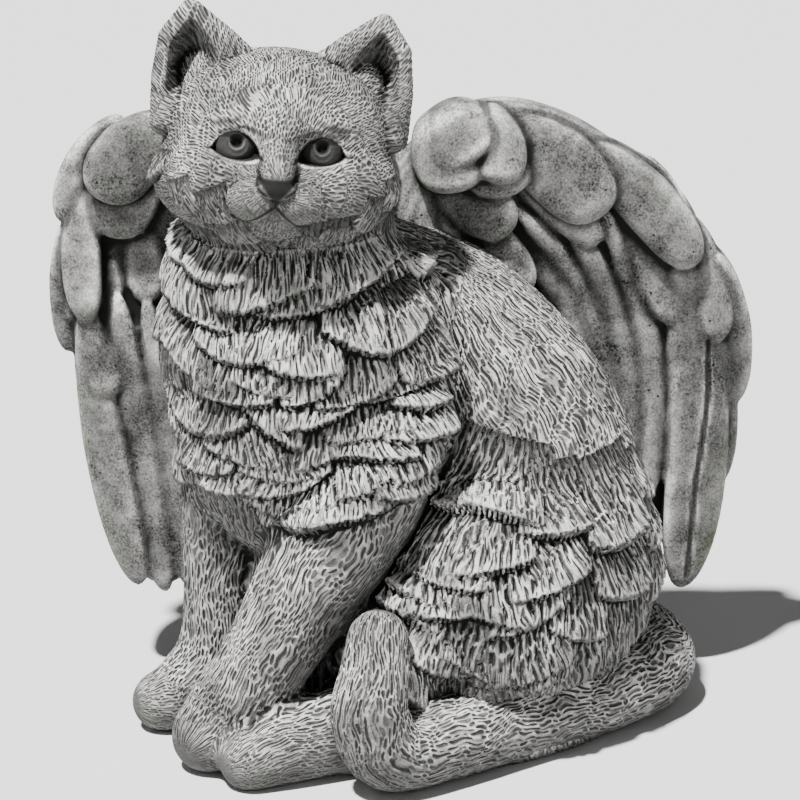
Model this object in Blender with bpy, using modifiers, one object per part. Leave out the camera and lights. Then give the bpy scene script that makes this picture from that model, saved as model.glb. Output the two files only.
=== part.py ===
"""Pet memorial statue: a seated cat with the wings of an angel, cast in one piece in stone.

Run with: blender --background --python part.py
Metres, +Z up. The face, chest and wings look towards -Y, and the haunches lie to +X.
The free form is set out in figure millimetres, which are shares of the statue's height.
"""

import math

import bmesh
import bpy
import numpy as np
from mathutils import Euler, Matrix, Vector
from mathutils.bvhtree import BVHTree

HEIGHT = 0.284
FIGURE_HEIGHT = 283.5
MM = HEIGHT / FIGURE_HEIGHT

# The middle of the statue's footprint box, in figure millimetres, comes to stand on the origin.
FIGURE_MIDDLE = (0.75, -5.85)
# The casting is ground flat this far above the figure's own zero.
UNDERSIDE = 0.0
GROUND_BLOCK = (500, 500, 60)

SMALLEST = 1e-6
BODY_SKIN, FINE_SKIN = 2.0, 1.5
BODY_SOFTENING, FINE_SOFTENING = 12, 2
TRIANGLES = 9500
# The face keeps more of its triangles than the rest.
FACE_CENTRE, FACE_REACH, FACE_THINNING = (-44, -52, 232), 42, 0.55
STONE_COLOUR = (0.50, 0.49, 0.47, 1.0)
STONE_ROUGHNESS = 0.9

HEAD_CENTRE = Vector((-44, -25, 230))
HEAD_PITCH, HEAD_ROLL, HEAD_YAW = -7, 5, 2

# A mass is a ball: its centre, three radii and turns about X, Y and Z in degrees.
TRUNK = (
    ((-36, -8, 128), (48, 45, 60), (0, 0, 0)),
    ((-34, -9, 158), (55, 44, 40), (0, 0, 0)),
    ((-42, -12, 182), (44, 38, 30), (0, 0, 0)),
    ((-4, -5, 142), (27, 36, 46), (0, 0, 0)),
    ((-40, -8, 202), (38, 36, 26), (0, 0, 0)),
    ((-15, 2, 55), (46, 38, 60), (0, 0, 30)),
    ((44, -12, 58), (52, 40, 53), (0, -12, 34)),
    ((18, 40, 48), (46, 34, 46), (0, -8, 30)),
    ((24, 2, 4), (84, 56, 12), (0, 0, 32)),
    ((3, -45, 12), (20, 13, 14), (0, 0, 0)),
    ((-3, -57, 30), (11, 9, 18), (0, 0, 0)),
)
# A limb is a route of points, each with its radius.
BACK = ((-20, 15, 168, 32), (12, 22, 143, 42), (40, 18, 106, 47), (50, 10, 60, 50))
THIGH = ((30, -22, 62, 30), (4, -36, 48, 23), (-6, -38, 28, 18))
HIND_FOOT = ((0, -40, 18, 16), (-24, -50, 15, 16), (-45, -60, 12, 14), (-55, -65, 10, 12))
FAR_HIND_FOOT = ((5, 45, 18, 16), (-32, 30, 13, 14), (-50, 22, 11, 12))
NEAR_FORELEG = (
    (-8, -22, 125, 28),
    (-19, -36, 96, 24),
    (-36, -43, 66, 20),
    (-52, -45, 38, 17),
    (-65, -44, 18, 17),
    (-71, -49, 13, 14.5),
)
FAR_FORELEG = (
    (-60, -5, 120, 24),
    (-67, -2, 80, 16),
    (-69, -4, 50, 14),
    (-72, -6, 28, 14),
    (-84, -10, 13, 14),
    (-91, -12, 11, 12),
)
TAIL = (
    (52, 58, 26, 20),
    (82, 44, 19, 18.5),
    (98, 16, 17, 17.5),
    (80, -9, 16, 17),
    (46, -34, 15, 16.5),
    (16, -57, 15, 16),
    (-4, -71, 17, 15.5),
    (-11, -75, 32, 14.5),
    (-9, -71, 47, 13),
    (-8, -65, 57, 11.5),
)

# The head's own frame: +X to the viewer's right, -Y out of the face.
HEAD = (
    ((0, 6, 5), (42, 40, 32), (0, 0, 0)),
    ((0, -2, -10), (45, 35, 25), (0, 0, 0)),
    ((21, -15, -9), (19, 19, 16), (0, 0, 0)),
    ((-21, -15, -9), (19, 19, 16), (0, 0, 0)),
    ((0, -27, -13), (17, 16, 11), (0, 0, 0)),
    ((0, -29, -22.5), (10, 10.5, 6), (0, 0, 0)),
    ((0, -26, 6), (10, 12, 15), (25, 0, 0)),
    ((23, 9, 22), (15, 12, 16), (0, 0, 0)),
    ((-23, 9, 22), (15, 12, 16), (0, 0, 0)),
)
NOSE_BRIDGE = ((0, -26, 11, 8.5), (0, -33, 2, 7.2), (0, -40, -6, 5.3))
NOSE_TIP = ((0, -43.5, -8.5), (6.6, 3.8, 3.4), (0, 0, 0))
# What follows is on both sides of the face.
MUZZLE_PAD = ((8, -36.5, -13.5), (9.5, 8.5, 7.5), (0, 0, 0))
BROW = ((16, -23, 14), (10, 7, 4), (0, 12, 12))
EYE_SOCKET = ((15, -34, 5), (10.5, 11, 6.5), (0, 8, 0))
SOCKET_DEPTH = 3
# The opening between the lids: its middle, half its width, its rise and drop from the line of its corners.
EYE_OPENING, EYE_HALF, EYE_RISE, EYE_DROP, EYE_SLANT = (15, 1.9), 8.4, 6.4, 2.4, 5
LID_ARCH = 0.75
LID_PROUD, LID_WIDTH, LID_DEPTH, LID_SOFTNESS, LID_REACH = 0.5, 1.2, 5.0, 0.9, 6
EYEBALL = ((15, -22.4, 4.0), (8, 8, 8), (0, 0, 0))
# An ear is a hull over balls, less a hull over the balls of its hollow.
EAR_BALLS = (
    (14, 5, 30, 6),
    (34.5, 2, 48, 4),
    (41, -1, 38, 4.5),
    (42.5, -2, 24, 4.5),
    (41, -3, 8, 5.5),
    (29, 13, 22, 11),
    (22, 2, 38, 5),
)
EAR_HOLLOW = (
    (33.5, -5, 44.5, 2.5),
    (38.5, -8, 36, 3),
    (38.5, -9, 20, 3.5),
    (34, 4, 28, 5),
    (24.5, -10, 36, 3.5),
    (22.5, -13, 25, 4),
    (29, -14, 15, 4),
)

# A wing is set out across, in depth and up, as if it were at +X. Its plane sweeps back towards the tips.
WING_PLANE, WING_SWEEP = 38, 0.0009
WING_SHOULDER = ((0, 34, 166, 20), (8, 42, 200, 14))
LEFT_ARM = (
    (30, 40, 220, 14),
    (58, 46, 217, 12),
    (88, 52, 197, 10),
    (110, 57, 168, 8.5),
    (127, 60, 136, 6.5),
)
RIGHT_ARM = (
    (34, 40, 221, 14),
    (68, 46, 224, 13),
    (96, 50, 214, 11.5),
    (113, 55, 196, 9.5),
    (122, 58, 172, 8),
    (126, 60, 146, 7),
)
# A feather is its root, its tip, how far it bows outwards, its width, thickness and depth behind the plane.
# Feathers lap like shingles: a root lies this much deeper than its tip, and less on the primaries.
SHINGLE, PRIMARY_SHINGLE = 8, 4
LEFT_WEBS = (
    ((18, 214), (104, 122), 0, 84, 8, 5),
    ((90, 210), (106, 52), 7, 46, 8, 5),
)
RIGHT_WEBS = (
    ((18, 216), (110, 136), 0, 92, 8, 5),
    ((102, 218), (92, 35), 8, 46, 8, 4),
)
LEFT_PRIMARIES = (
    ((106, 178), (111, 34.5), 8, 25, 10, -3),
    ((121, 172), (130.5, 108), 4, 15, 8, 3),
    ((117, 150), (124.5, 74), 4, 16, 9, 3),
)
RIGHT_PRIMARIES = (
    ((121, 156), (103, 36), 4, 18, 10, -2),
    ((109, 156), (93, 33), 1, 16, 9, 0),
    ((98, 156), (84, 36), 0, 14, 9, 1),
    ((127, 186), (129.5, 129), 3, 11, 8, 5),
)
# The inner primaries step evenly from the first to the last.
LEFT_INNER = (((75, 194), (95, 67), 12, 13, 9, 0), ((28, 190), (75, 116), 11, 11, 9, 2))
RIGHT_INNER = (((86, 180), (75, 48), 1, 12, 9, 1), ((34, 184), (58, 114), 7, 11, 9, 2))
INNER_COUNT = 4
# A feather's width at its root, as a share, and how blunt its tip, flat its ends and round its face are.
ROOT_WIDTH, TIP_BLUNTNESS, END_FLATNESS, FACE_ROUNDNESS = 0.7, 3.5, 7, 0.6
# The coverts by the shoulder are alike on both wings.
SHOULDER_COVERTS = (
    ((28, 229), (38, 199.5), 2, 27, 16, -12),
    ((9, 231), (21, 203), 2, 27, 22, -16),
    ((30, 233), (36.5, 206), 3, 22, 22, -15),
    ((14, 234), (26, 214), 0, 32, 24, -15),
    ((6, 203), (43, 186), 2, 22, 14, -9),
    ((18, 190), (48.5, 159.5), 2, 21, 14, -6),
    ((2, 204), (21.5, 169), 2, 14, 12, -9),
    ((44, 203), (77, 178), 1, 16, 12, 0),
    ((36, 226), (77, 190.5), 3, 30, 20, -9),
)
LEFT_COVERTS = (
    ((107, 188), (123, 136), 3, 17, 14, -3),
    ((68, 217), (113.5, 168.5), 3, 22, 18, -6),
    ((77, 191), (109.5, 143), 4, 21, 14, -1),
)
RIGHT_COVERTS = (
    ((116, 166), (115, 113.5), 1, 21, 12, -2),
    ((121, 200), (121, 145), 2, 16, 13, -5),
    ((84, 224), (114, 195), 4, 27, 18, -9),
    ((106, 224), (130, 183), 5, 13, 12, 0),
    ((92, 223), (111, 178), 2, 28, 11, -1),
    ((110, 188), (111.5, 151), 1, 13, 9, 2),
    ((98, 194), (97.5, 152.5), 1, 16, 9, 1),
    ((92, 168), (93, 133.5), 0, 11, 8, 3),
)
# The back of the wing repeats every primary and the first coverts, each deeper than the one before.
BACK_COVERTS, BACK_PRIMARY_DEPTH, BACK_COVERT_DEPTH = 2, (5, 1.2), (11, 3)

# The locks of fur on the front lie as seen from this point, on an upright plane through the origin.
VIEWPOINT = Vector((0, -1189, 514))
VIEW_TARGET = Vector((0, 0, 128))
# A festoon of locks goes through its left end, its middle and its right end, across and up from the target.
# It ends with the number of its locks.
CHEST_ROWS = (
    ((-82, 54), (-44, 38), (2, 45), 6),
    ((-77, 27), (-44, 12), (4, 25), 6),
    ((-80, 10), (-32, -3), (14, 8), 7),
    ((-84, -9), (-40, -14), (7, -5), 6),
    ((-74, -26), (-34, -25), (8, -18), 6),
    ((-62, -33), (-28, -37), (4, -28), 5),
    ((-52, -43), (-30, -46), (2, -38), 4),
)
HAUNCH_ROWS = (
    ((22, -40), (46, -48), (80, -56), 4),
    ((5, -71), (34, -67), (84, -77), 5),
    ((4, -84), (40, -84), (86, -97), 6),
    ((16, -102), (38, -105), (66, -109), 4),
    ((10, -114), (26, -116), (44, -113), 3),
)
CHEEK_ROWS = (((-89, 86), (-42, 50), (6, 86), 11),)
# The width and length of a lock, how proud its tip stands and how it fans out towards a row's ends.
CHEST_LOCK, HAUNCH_LOCK, CHEEK_LOCK = (32, 23, 6.5, 14), (38, 26, 5.5, 10), (16, 12, 2.2, -22)
# How far a lock's tip wanders, in millimetres, and how far to one side its point lies, as a share.
TIP_WANDER, TIP_SKEW = 3.6, 1.0
# At the sides, tufts hang in rows round an upright axis, over the given angles from +X.
SIDE_ROWS = (
    ((-36, -4), (186, 168, 150, 132, 114), (160, 222)),
    ((34, 8), (96, 78, 60, 42), (-12, 62)),
)
SIDE_STEP, SIDE_LOCK, SIDE_RISE = 22, (26, 22), 3.6
# A lock laps the next by this much, and this much of its length goes from the middle of its tip to the sides.
LOCK_LAP, LOCK_POINT = 1.5, 0.13
# A lock swells towards its tip by this power, fades at its sides and where the skin turns away from it.
LOCK_SWELL, LOCK_SIDES, LOCK_FACING = 1.3, 1.3, 0.3
# Shares and turns by which the locks differ from each other.
FRONT_VARIETY, FRONT_LEAN = (0.8, 1.25), (-6, 10)
SIDE_VARIETY, SIDE_LEAN, SIDE_TURN, SIDE_RAISE = (0.85, 1.1), 12, 3, 4
# The root of a lock lies under the lock above by this share of its length.
LOCK_OVERLAP = 1.15
RAY_START = 200
SEED = 7


def clear_scene():
    for thing in list(bpy.data.objects):
        bpy.data.objects.remove(thing, do_unlink=True)


def turned(degrees):
    return Euler([math.radians(a) for a in degrees]).to_matrix().to_4x4()


def head_frame():
    return Matrix.Translation(HEAD_CENTRE) @ turned((HEAD_PITCH, HEAD_ROLL, HEAD_YAW))


def sided(side):
    return Matrix.Diagonal((side, 1, 1, 1))


def unit_ball(segments=28, rings=18):
    bm = bmesh.new()
    bmesh.ops.create_uvsphere(bm, u_segments=segments, v_segments=rings, radius=1)
    mesh = bpy.data.meshes.new("ball")
    bm.to_mesh(mesh)
    bm.free()
    return mesh


def mass_mesh(mass, frame=Matrix()):
    centre, radii, turns = mass
    mesh = unit_ball()
    mesh.transform(frame @ Matrix.Translation(centre) @ turned(turns) @ Matrix.Diagonal((*radii, 1)))
    return mesh


def smooth_route(route, step=3.0):
    """Points with radii along one curve through the route, about a step apart."""
    knots = np.array(route, float)
    knots = np.vstack([2 * knots[0] - knots[1], knots, 2 * knots[-1] - knots[-2]])
    found = []
    for a, b, c, d in zip(knots, knots[1:], knots[2:], knots[3:]):
        count = max(2, int(np.linalg.norm(c[:3] - b[:3]) / step))
        for t in np.arange(count) / count:
            straight = 2 * b + (c - a) * t
            curved = (2 * a - 5 * b + 4 * c - d) * t**2 + (3 * b - a - 3 * c + d) * t**3
            found.append(0.5 * (straight + curved))
    return np.array([*found, knots[-2]])


def limb_meshes(route, frame=Matrix()):
    """A tapering limb: a bevelled curve through the route, with a ball at each end."""
    points = smooth_route(route)
    curve = bpy.data.curves.new("limb", "CURVE")
    curve.dimensions = "3D"
    curve.bevel_depth = 1
    curve.bevel_resolution = 5
    curve.use_fill_caps = True
    spline = curve.splines.new("POLY")
    spline.points.add(len(points) - 1)
    for point, (x, y, z, radius) in zip(spline.points, points):
        point.co = (x, y, z, 1)
        point.radius = radius
    meshes = [applied(linked("limb", curve))]
    for x, y, z, radius in (points[0], points[-1]):
        meshes.append(mass_mesh(((x, y, z), (radius,) * 3, (0, 0, 0))))
    for mesh in meshes:
        mesh.transform(frame)
    return meshes


def hull_mesh(balls, frame):
    """The hull stretched over some balls."""
    bm = bmesh.new()
    for x, y, z, radius in balls:
        bmesh.ops.create_icosphere(
            bm, subdivisions=2, radius=radius, matrix=Matrix.Translation((x, y, z))
        )
    hull = bmesh.ops.convex_hull(bm, input=bm.verts)
    inside = {v for v in hull["geom_interior"] if isinstance(v, bmesh.types.BMVert)}
    bmesh.ops.delete(bm, geom=list(inside), context="VERTS")
    mesh = bpy.data.meshes.new("hull")
    bm.to_mesh(mesh)
    bm.free()
    mesh.transform(frame)
    return mesh


def linked(name, data):
    obj = bpy.data.objects.new(name, data)
    bpy.context.scene.collection.objects.link(obj)
    return obj


def applied(obj):
    """The object's mesh with its modifiers applied. The object goes."""
    graph = bpy.context.evaluated_depsgraph_get()
    mesh = bpy.data.meshes.new_from_object(obj.evaluated_get(graph))
    bpy.data.objects.remove(obj)
    return mesh


def joined(name, meshes):
    """One object from some meshes, each turned the right way out."""
    bm = bmesh.new()
    for mesh in meshes:
        bm.from_mesh(mesh)
    bmesh.ops.recalc_face_normals(bm, faces=bm.faces)
    mesh = bpy.data.meshes.new(name)
    bm.to_mesh(mesh)
    bm.free()
    return linked(name, mesh)


def fused(obj, voxel, softening):
    """One closed skin over everything in the object, with its creases softened."""
    remesh = obj.modifiers.new("skin", "REMESH")
    remesh.mode = "VOXEL"
    remesh.voxel_size = voxel
    soften = obj.modifiers.new("soften", "SMOOTH")
    soften.factor = 0.5
    soften.iterations = softening
    return applied(obj)


def cut(obj, cutter, operation="DIFFERENCE"):
    boolean = obj.modifiers.new("cut", "BOOLEAN")
    boolean.operation = operation
    boolean.object = cutter
    mesh = applied(obj)
    bpy.data.objects.remove(cutter)
    return mesh


def body_mesh():
    """Trunk, limbs and skull as one soft form."""
    meshes = [mass_mesh(mass) for mass in TRUNK]
    for route in (BACK, THIGH, HIND_FOOT, FAR_HIND_FOOT, NEAR_FORELEG, FAR_FORELEG):
        meshes += limb_meshes(route)
    meshes += [mass_mesh(mass, head_frame()) for mass in HEAD]
    return fused(joined("body", meshes), BODY_SKIN, BODY_SOFTENING)


def ear_mesh(side):
    frame = head_frame() @ sided(side)
    ear = joined("ear", [hull_mesh(EAR_BALLS, frame)])
    return cut(ear, joined("hollow", [hull_mesh(EAR_HOLLOW, frame)]))


def face_meshes():
    frame = head_frame()
    meshes = [*limb_meshes(NOSE_BRIDGE, frame), mass_mesh(NOSE_TIP, frame)]
    for side in (1, -1):
        meshes += [mass_mesh(mass, frame @ sided(side)) for mass in (MUZZLE_PAD, BROW, EYEBALL)]
        meshes.append(ear_mesh(side))
    return meshes


def positions(mesh):
    found = np.empty(len(mesh.vertices) * 3, np.float32)
    mesh.vertices.foreach_get("co", found)
    return found.reshape(-1, 3).astype(float)


def place_vertices(mesh, points):
    mesh.vertices.foreach_set("co", points.astype(np.float32).ravel())
    mesh.update()


def feather_mesh(feather, frame):
    """A ball drawn out flat into a blade with a blunt tip, bowed sideways along its length."""
    root, tip, bow, width, thickness, depth, tilt = feather
    root, tip = np.array(root, float), np.array(tip, float)
    along = tip - root
    knee = (root + tip) / 2 + np.array([-along[1], along[0]]) / np.linalg.norm(along) * 2 * bow
    mesh = unit_ball(14, 18)
    x, y, z = positions(mesh).T
    ring = np.maximum(SMALLEST, np.hypot(x, y))
    t = (z[:, None] + 1) / 2
    blunt = np.sqrt(np.clip(1 - np.abs(z) ** TIP_BLUNTNESS, 0, 1))
    spread = 0.5 * width * blunt * (ROOT_WIDTH + (1 - ROOT_WIDTH) * np.minimum(1, z + 1))
    thick = 0.5 * thickness * np.sqrt(np.clip(1 - np.abs(z) ** END_FLATNESS, 0, 1))
    centre = root * (1 - t) ** 2 + knee * 2 * t * (1 - t) + tip * t**2
    heading = (knee - root) * (1 - t) + (tip - knee) * t
    heading /= np.linalg.norm(heading, axis=1)[:, None]
    flat = centre + np.stack([heading[:, 1], -heading[:, 0]], 1) * (spread * x / ring)[:, None]
    middle = WING_PLANE + WING_SWEEP * flat[:, 0] ** 2 + depth + tilt * (1 - t[:, 0])
    face = np.sign(y) * np.abs(y / ring) ** FACE_ROUNDNESS
    place_vertices(mesh, np.stack([flat[:, 0], middle + thick * face, flat[:, 1]], 1))
    mesh.transform(frame)
    return mesh


def stepped(first, last, count):
    """Feathers that step evenly from the first to the last."""
    feathers = []
    for t in np.arange(count) / (count - 1):
        feathers.append([np.array(a) * (1 - t) + np.array(b) * t for a, b in zip(first, last)])
    return feathers


def wing_meshes(side, arm, webs, primaries, inner, coverts):
    """One wing: its arm, and its feathers on the front and, laid the other way, on the back."""
    primaries = [*primaries, *stepped(*inner, INNER_COUNT)]
    feathers = [(*feather, SHINGLE) for feather in (*coverts, *SHOULDER_COVERTS)]
    feathers += [(*feather, PRIMARY_SHINGLE) for feather in (*webs, *primaries)]
    for row, (depth, step) in ((primaries, BACK_PRIMARY_DEPTH), (coverts[:BACK_COVERTS], BACK_COVERT_DEPTH)):
        feathers += [(*feather[:5], depth + step * number, -SHINGLE) for number, feather in enumerate(row)]
    meshes = limb_meshes((*WING_SHOULDER, *arm), sided(side))
    return meshes + [feather_mesh(feather, sided(side)) for feather in feathers]


def placed_lock(hit, lean, size, rise, skew):
    """A lock where a ray meets the skin: its middle, normal, fall, width, length, rise and skew."""
    spot, normal = hit[:2]
    fall = Vector((math.sin(math.radians(lean)), 0, -math.cos(math.radians(lean))))
    fall = fall - fall.dot(normal) * normal
    return spot, normal, fall.normalized(), *size, rise, skew


def front_locks(tree, rows, lock, chance):
    """Rows of locks, each cast on to the skin from the viewpoint by its middle."""
    up = (VIEWPOINT - VIEW_TARGET).cross(Vector((1, 0, 0))).normalized()
    locks = []
    for left, middle, right, count in rows:
        left, middle, right = (np.array(end, float) for end in (left, middle, right))
        for t in np.arange(count) / (count - 1):
            tip = left * (1 - t) * (1 - 2 * t) + middle * 4 * t * (1 - t) + right * t * (2 * t - 1)
            width, length, rise, fan = lock * chance.uniform(*FRONT_VARIETY, 4)
            lean = fan * (2 * t - 1) + chance.uniform(*FRONT_LEAN)
            back = math.radians(lean)
            tip = tip + (0, chance.uniform(-TIP_WANDER, TIP_WANDER))
            skew = chance.uniform(-TIP_SKEW, TIP_SKEW)
            across, above = tip + length / 2 * np.array([-math.sin(back), math.cos(back)])
            ray = VIEW_TARGET + Vector((across, 0, 0)) + up * above - VIEWPOINT
            hit = tree.ray_cast(VIEWPOINT, ray)
            if hit[0]:
                locks.append(placed_lock(hit, lean, (width, length * LOCK_OVERLAP), rise, skew))
    return locks


def side_locks(tree, chance):
    locks = []
    for axis, rows, (start, stop) in SIDE_ROWS:
        for number, level in enumerate(rows):
            for angle in np.arange(start, stop, SIDE_STEP) + SIDE_STEP / 2 * (number % 2):
                a = math.radians(angle + chance.uniform(-SIDE_TURN, SIDE_TURN))
                outward = Vector((math.cos(a), math.sin(a), 0))
                origin = Vector((*axis, level + chance.uniform(-SIDE_RAISE, SIDE_RAISE)))
                size = [s * chance.uniform(*SIDE_VARIETY) for s in SIDE_LOCK]
                hit = tree.ray_cast(origin + outward * RAY_START, -outward)
                lean = chance.uniform(-SIDE_LEAN, SIDE_LEAN)
                skew = chance.uniform(-TIP_SKEW, TIP_SKEW)
                locks.append(placed_lock(hit, lean, size, SIDE_RISE, skew))
    return locks


def fur_locks(body):
    bm = bmesh.new()
    bm.from_mesh(body)
    tree = BVHTree.FromBMesh(bm)
    bm.free()
    chance = np.random.default_rng(SEED)
    locks = side_locks(tree, chance)
    for rows, lock in ((CHEST_ROWS, CHEST_LOCK), (HAUNCH_ROWS, HAUNCH_LOCK), (CHEEK_ROWS, CHEEK_LOCK)):
        locks += front_locks(tree, rows, np.array(lock, float), chance)
    return locks


def raise_locks(mesh, locks):
    """Lifts the skin under each lock, from nothing at its root to a step at its tip."""
    points = positions(mesh)
    normals = np.empty(len(points) * 3, np.float32)
    mesh.vertices.foreach_get("normal", normals)
    normals = normals.reshape(-1, 3).astype(float)
    lift = np.zeros(len(points))
    for middle, normal, fall, width, length, rise, skew in locks:
        offset = points - np.array(middle)
        near = np.flatnonzero((offset**2).sum(1) < (width + length) ** 2 / 3)
        facing = normals[near] @ np.array(normal)
        near, facing = near[facing > LOCK_FACING], facing[facing > LOCK_FACING]
        across = offset[near] @ np.array(fall.cross(normal)) / (width / 2)
        down = offset[near] @ np.array(fall) / length + 0.5
        tip = 1 - LOCK_POINT * (across - skew) ** 2
        past = np.clip((tip - down) * length / LOCK_LAP, 0, 1)
        height = rise * np.clip(down / np.maximum(tip, 0.1), 0, 1) ** LOCK_SWELL * past
        height *= np.clip(LOCK_SIDES * (1 - across**4), 0, 1) * np.clip(facing * 1.5 - LOCK_FACING, 0, 1)
        deep = np.abs(offset[near] @ np.array(normal)) < length * 0.6
        np.maximum.at(lift, near, np.where(deep, height, 0))
    place_vertices(mesh, points + normals * lift[:, None])


def press_sockets(mesh):
    """Presses the eye sockets into the face, before the eyeballs go in."""
    points = positions(mesh)
    into = np.array(head_frame().to_3x3() @ Vector((0, 1, 0)))
    for side in (1, -1):
        centre, radii, turns = EYE_SOCKET
        place = head_frame() @ sided(side) @ Matrix.Translation(centre) @ turned(turns)
        inverse = np.array((place @ Matrix.Diagonal((*radii, 1))).inverted())
        local = points @ inverse[:3, :3].T + inverse[:3, 3]
        pressed = np.clip(1 - (local**2).sum(1), 0, 1)
        points += into * (SOCKET_DEPTH * np.sqrt(pressed))[:, None]
    place_vertices(mesh, points)


def open_eyes(mesh):
    """Opens the lids, with a proud rim round each opening."""
    points = positions(mesh)
    inverse = np.array(head_frame().inverted())
    local = points @ inverse[:3, :3].T + inverse[:3, 3]
    into = np.array(head_frame().to_3x3() @ Vector((0, 1, 0)))
    slant = math.radians(EYE_SLANT)
    across = np.abs(local[:, 0]) - EYE_OPENING[0]
    above = local[:, 2] - EYE_OPENING[1]
    u = (across * math.cos(slant) + above * math.sin(slant)) / EYE_HALF
    v = above * math.cos(slant) - across * math.sin(slant)
    arch = np.clip(1 - u**2, 0, 1) ** LID_ARCH
    outside = np.maximum(np.maximum(v - EYE_RISE * arch, -EYE_DROP * arch - v), (np.abs(u) - 1) * EYE_HALF)
    front = (local[:, 1] < EYEBALL[0][1] / 2) & (outside < LID_REACH)
    sunk = LID_DEPTH * np.clip(0.5 - outside / LID_SOFTNESS, 0, 1)
    rim = LID_PROUD * np.exp(-((outside / LID_WIDTH - 1) ** 2))
    points[front] += into * (sunk - rim)[front, None]
    place_vertices(mesh, points)


def ground_box():
    bm = bmesh.new()
    below = Matrix.Translation((0, 0, UNDERSIDE - GROUND_BLOCK[2] / 2))
    bmesh.ops.create_cube(bm, size=1, matrix=below @ Matrix.Diagonal((*GROUND_BLOCK, 1)))
    mesh = bpy.data.meshes.new("ground")
    bm.to_mesh(mesh)
    bm.free()
    return linked("ground", mesh)


def thinned(mesh, count):
    """The mesh with about this many triangles, which lie closer together on the face."""
    obj = linked("figure", mesh)
    group = obj.vertex_groups.new(name="thin")
    reach = np.linalg.norm(positions(mesh) - np.array(FACE_CENTRE), axis=1)
    face = np.flatnonzero(reach < FACE_REACH)
    group.add(np.flatnonzero(reach >= FACE_REACH).tolist(), 1.0, "REPLACE")
    group.add(face.tolist(), FACE_THINNING, "REPLACE")
    mesh.calc_loop_triangles()
    thin = obj.modifiers.new("thin", "DECIMATE")
    thin.ratio = count / len(mesh.loop_triangles)
    thin.vertex_group = group.name
    return applied(obj)


def stone():
    material = bpy.data.materials.new("cast_stone")
    material.use_nodes = True
    shader = material.node_tree.nodes["Principled BSDF"]
    shader.inputs["Base Color"].default_value = STONE_COLOUR
    shader.inputs["Roughness"].default_value = STONE_ROUGHNESS
    return material


def main():
    clear_scene()
    body = body_mesh()
    locks = fur_locks(body)
    press_sockets(body)
    meshes = [body, *face_meshes(), *limb_meshes(TAIL)]
    meshes += wing_meshes(1, LEFT_ARM, LEFT_WEBS, LEFT_PRIMARIES, LEFT_INNER, LEFT_COVERTS)
    meshes += wing_meshes(-1, RIGHT_ARM, RIGHT_WEBS, RIGHT_PRIMARIES, RIGHT_INNER, RIGHT_COVERTS)
    skin = fused(joined("skin", meshes), FINE_SKIN, FINE_SOFTENING)
    open_eyes(skin)
    raise_locks(skin, locks)
    mesh = cut(linked("figure", thinned(skin, TRIANGLES)), ground_box())
    middle = Matrix.Translation((-FIGURE_MIDDLE[0], -FIGURE_MIDDLE[1], -UNDERSIDE))
    mesh.transform(Matrix.Scale(MM, 4) @ middle)
    mesh.materials.clear()
    mesh.materials.append(stone())
    statue = bpy.data.objects.new("cat_angel_statue", mesh)
    family = bpy.data.collections.new("pet_memorial_statue")
    bpy.context.scene.collection.children.link(family)
    family.objects.link(statue)


main()
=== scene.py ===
"""Pet memorial statue in weathered cast stone: a seated cat with the wings of an angel."""

import math

import bmesh
import bpy
import numpy as np
from bpy.props import FloatProperty, FloatVectorProperty, PointerProperty
from mathutils import Euler, Matrix, Vector
from mathutils.bvhtree import BVHTree


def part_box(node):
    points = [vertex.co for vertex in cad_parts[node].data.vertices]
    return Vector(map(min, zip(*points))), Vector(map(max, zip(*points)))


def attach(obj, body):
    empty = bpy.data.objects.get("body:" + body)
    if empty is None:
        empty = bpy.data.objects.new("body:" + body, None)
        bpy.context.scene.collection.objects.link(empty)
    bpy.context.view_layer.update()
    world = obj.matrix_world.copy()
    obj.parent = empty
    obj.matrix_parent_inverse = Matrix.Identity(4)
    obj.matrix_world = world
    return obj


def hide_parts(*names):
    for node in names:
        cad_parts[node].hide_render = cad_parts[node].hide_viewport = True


bl_info = {
    "name": "Cat angel memorial statue",
    "version": (1, 0, 0),
    "blender": (4, 5, 0),
    "location": "View3D > Sidebar > Statue",
    "description": (
        "Builds a seated stone cat with folded wings, its carved fur and feathers, and its stage"
    ),
    "category": "Add Mesh",
}

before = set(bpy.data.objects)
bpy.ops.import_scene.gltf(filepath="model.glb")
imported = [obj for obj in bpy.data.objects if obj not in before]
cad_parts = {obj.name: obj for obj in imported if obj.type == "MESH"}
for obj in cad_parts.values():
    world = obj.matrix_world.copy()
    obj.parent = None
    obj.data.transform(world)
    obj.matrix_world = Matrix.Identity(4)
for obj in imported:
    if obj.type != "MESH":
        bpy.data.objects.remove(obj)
NODE = "cat_angel_statue"

# The figure is set out in figure millimetres, which are shares of the statue's height.
FIGURE_HEIGHT = 283.8
FIGURE_MIDDLE = (0.75, -5.85)
MM = (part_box(NODE)[1].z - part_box(NODE)[0].z) / FIGURE_HEIGHT

TRUNK_SKIN, TRUNK_SOFTENING = 2.0, 12
SMALLEST = 1e-6

HEAD_CENTRE = Vector((-44, -25, 230))
HEAD_PITCH, HEAD_ROLL, HEAD_YAW = -7, 5, 2

# A mass is a ball: its centre, three radii and turns about X, Y and Z in degrees.
TRUNK = (
    ((-36, -8, 128), (48, 45, 60), (0, 0, 0)),
    ((-34, -9, 158), (55, 44, 40), (0, 0, 0)),
    ((-42, -12, 182), (44, 38, 30), (0, 0, 0)),
    ((-4, -5, 142), (27, 36, 46), (0, 0, 0)),
    ((-40, -8, 202), (38, 36, 26), (0, 0, 0)),
    ((-15, 2, 55), (46, 38, 60), (0, 0, 30)),
    ((44, -12, 58), (52, 40, 53), (0, -12, 34)),
    ((18, 40, 48), (46, 34, 46), (0, -8, 30)),
    ((24, 2, 4), (84, 56, 12), (0, 0, 32)),
    ((3, -45, 12), (20, 13, 14), (0, 0, 0)),
    ((-3, -57, 30), (11, 9, 18), (0, 0, 0)),
)
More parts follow.
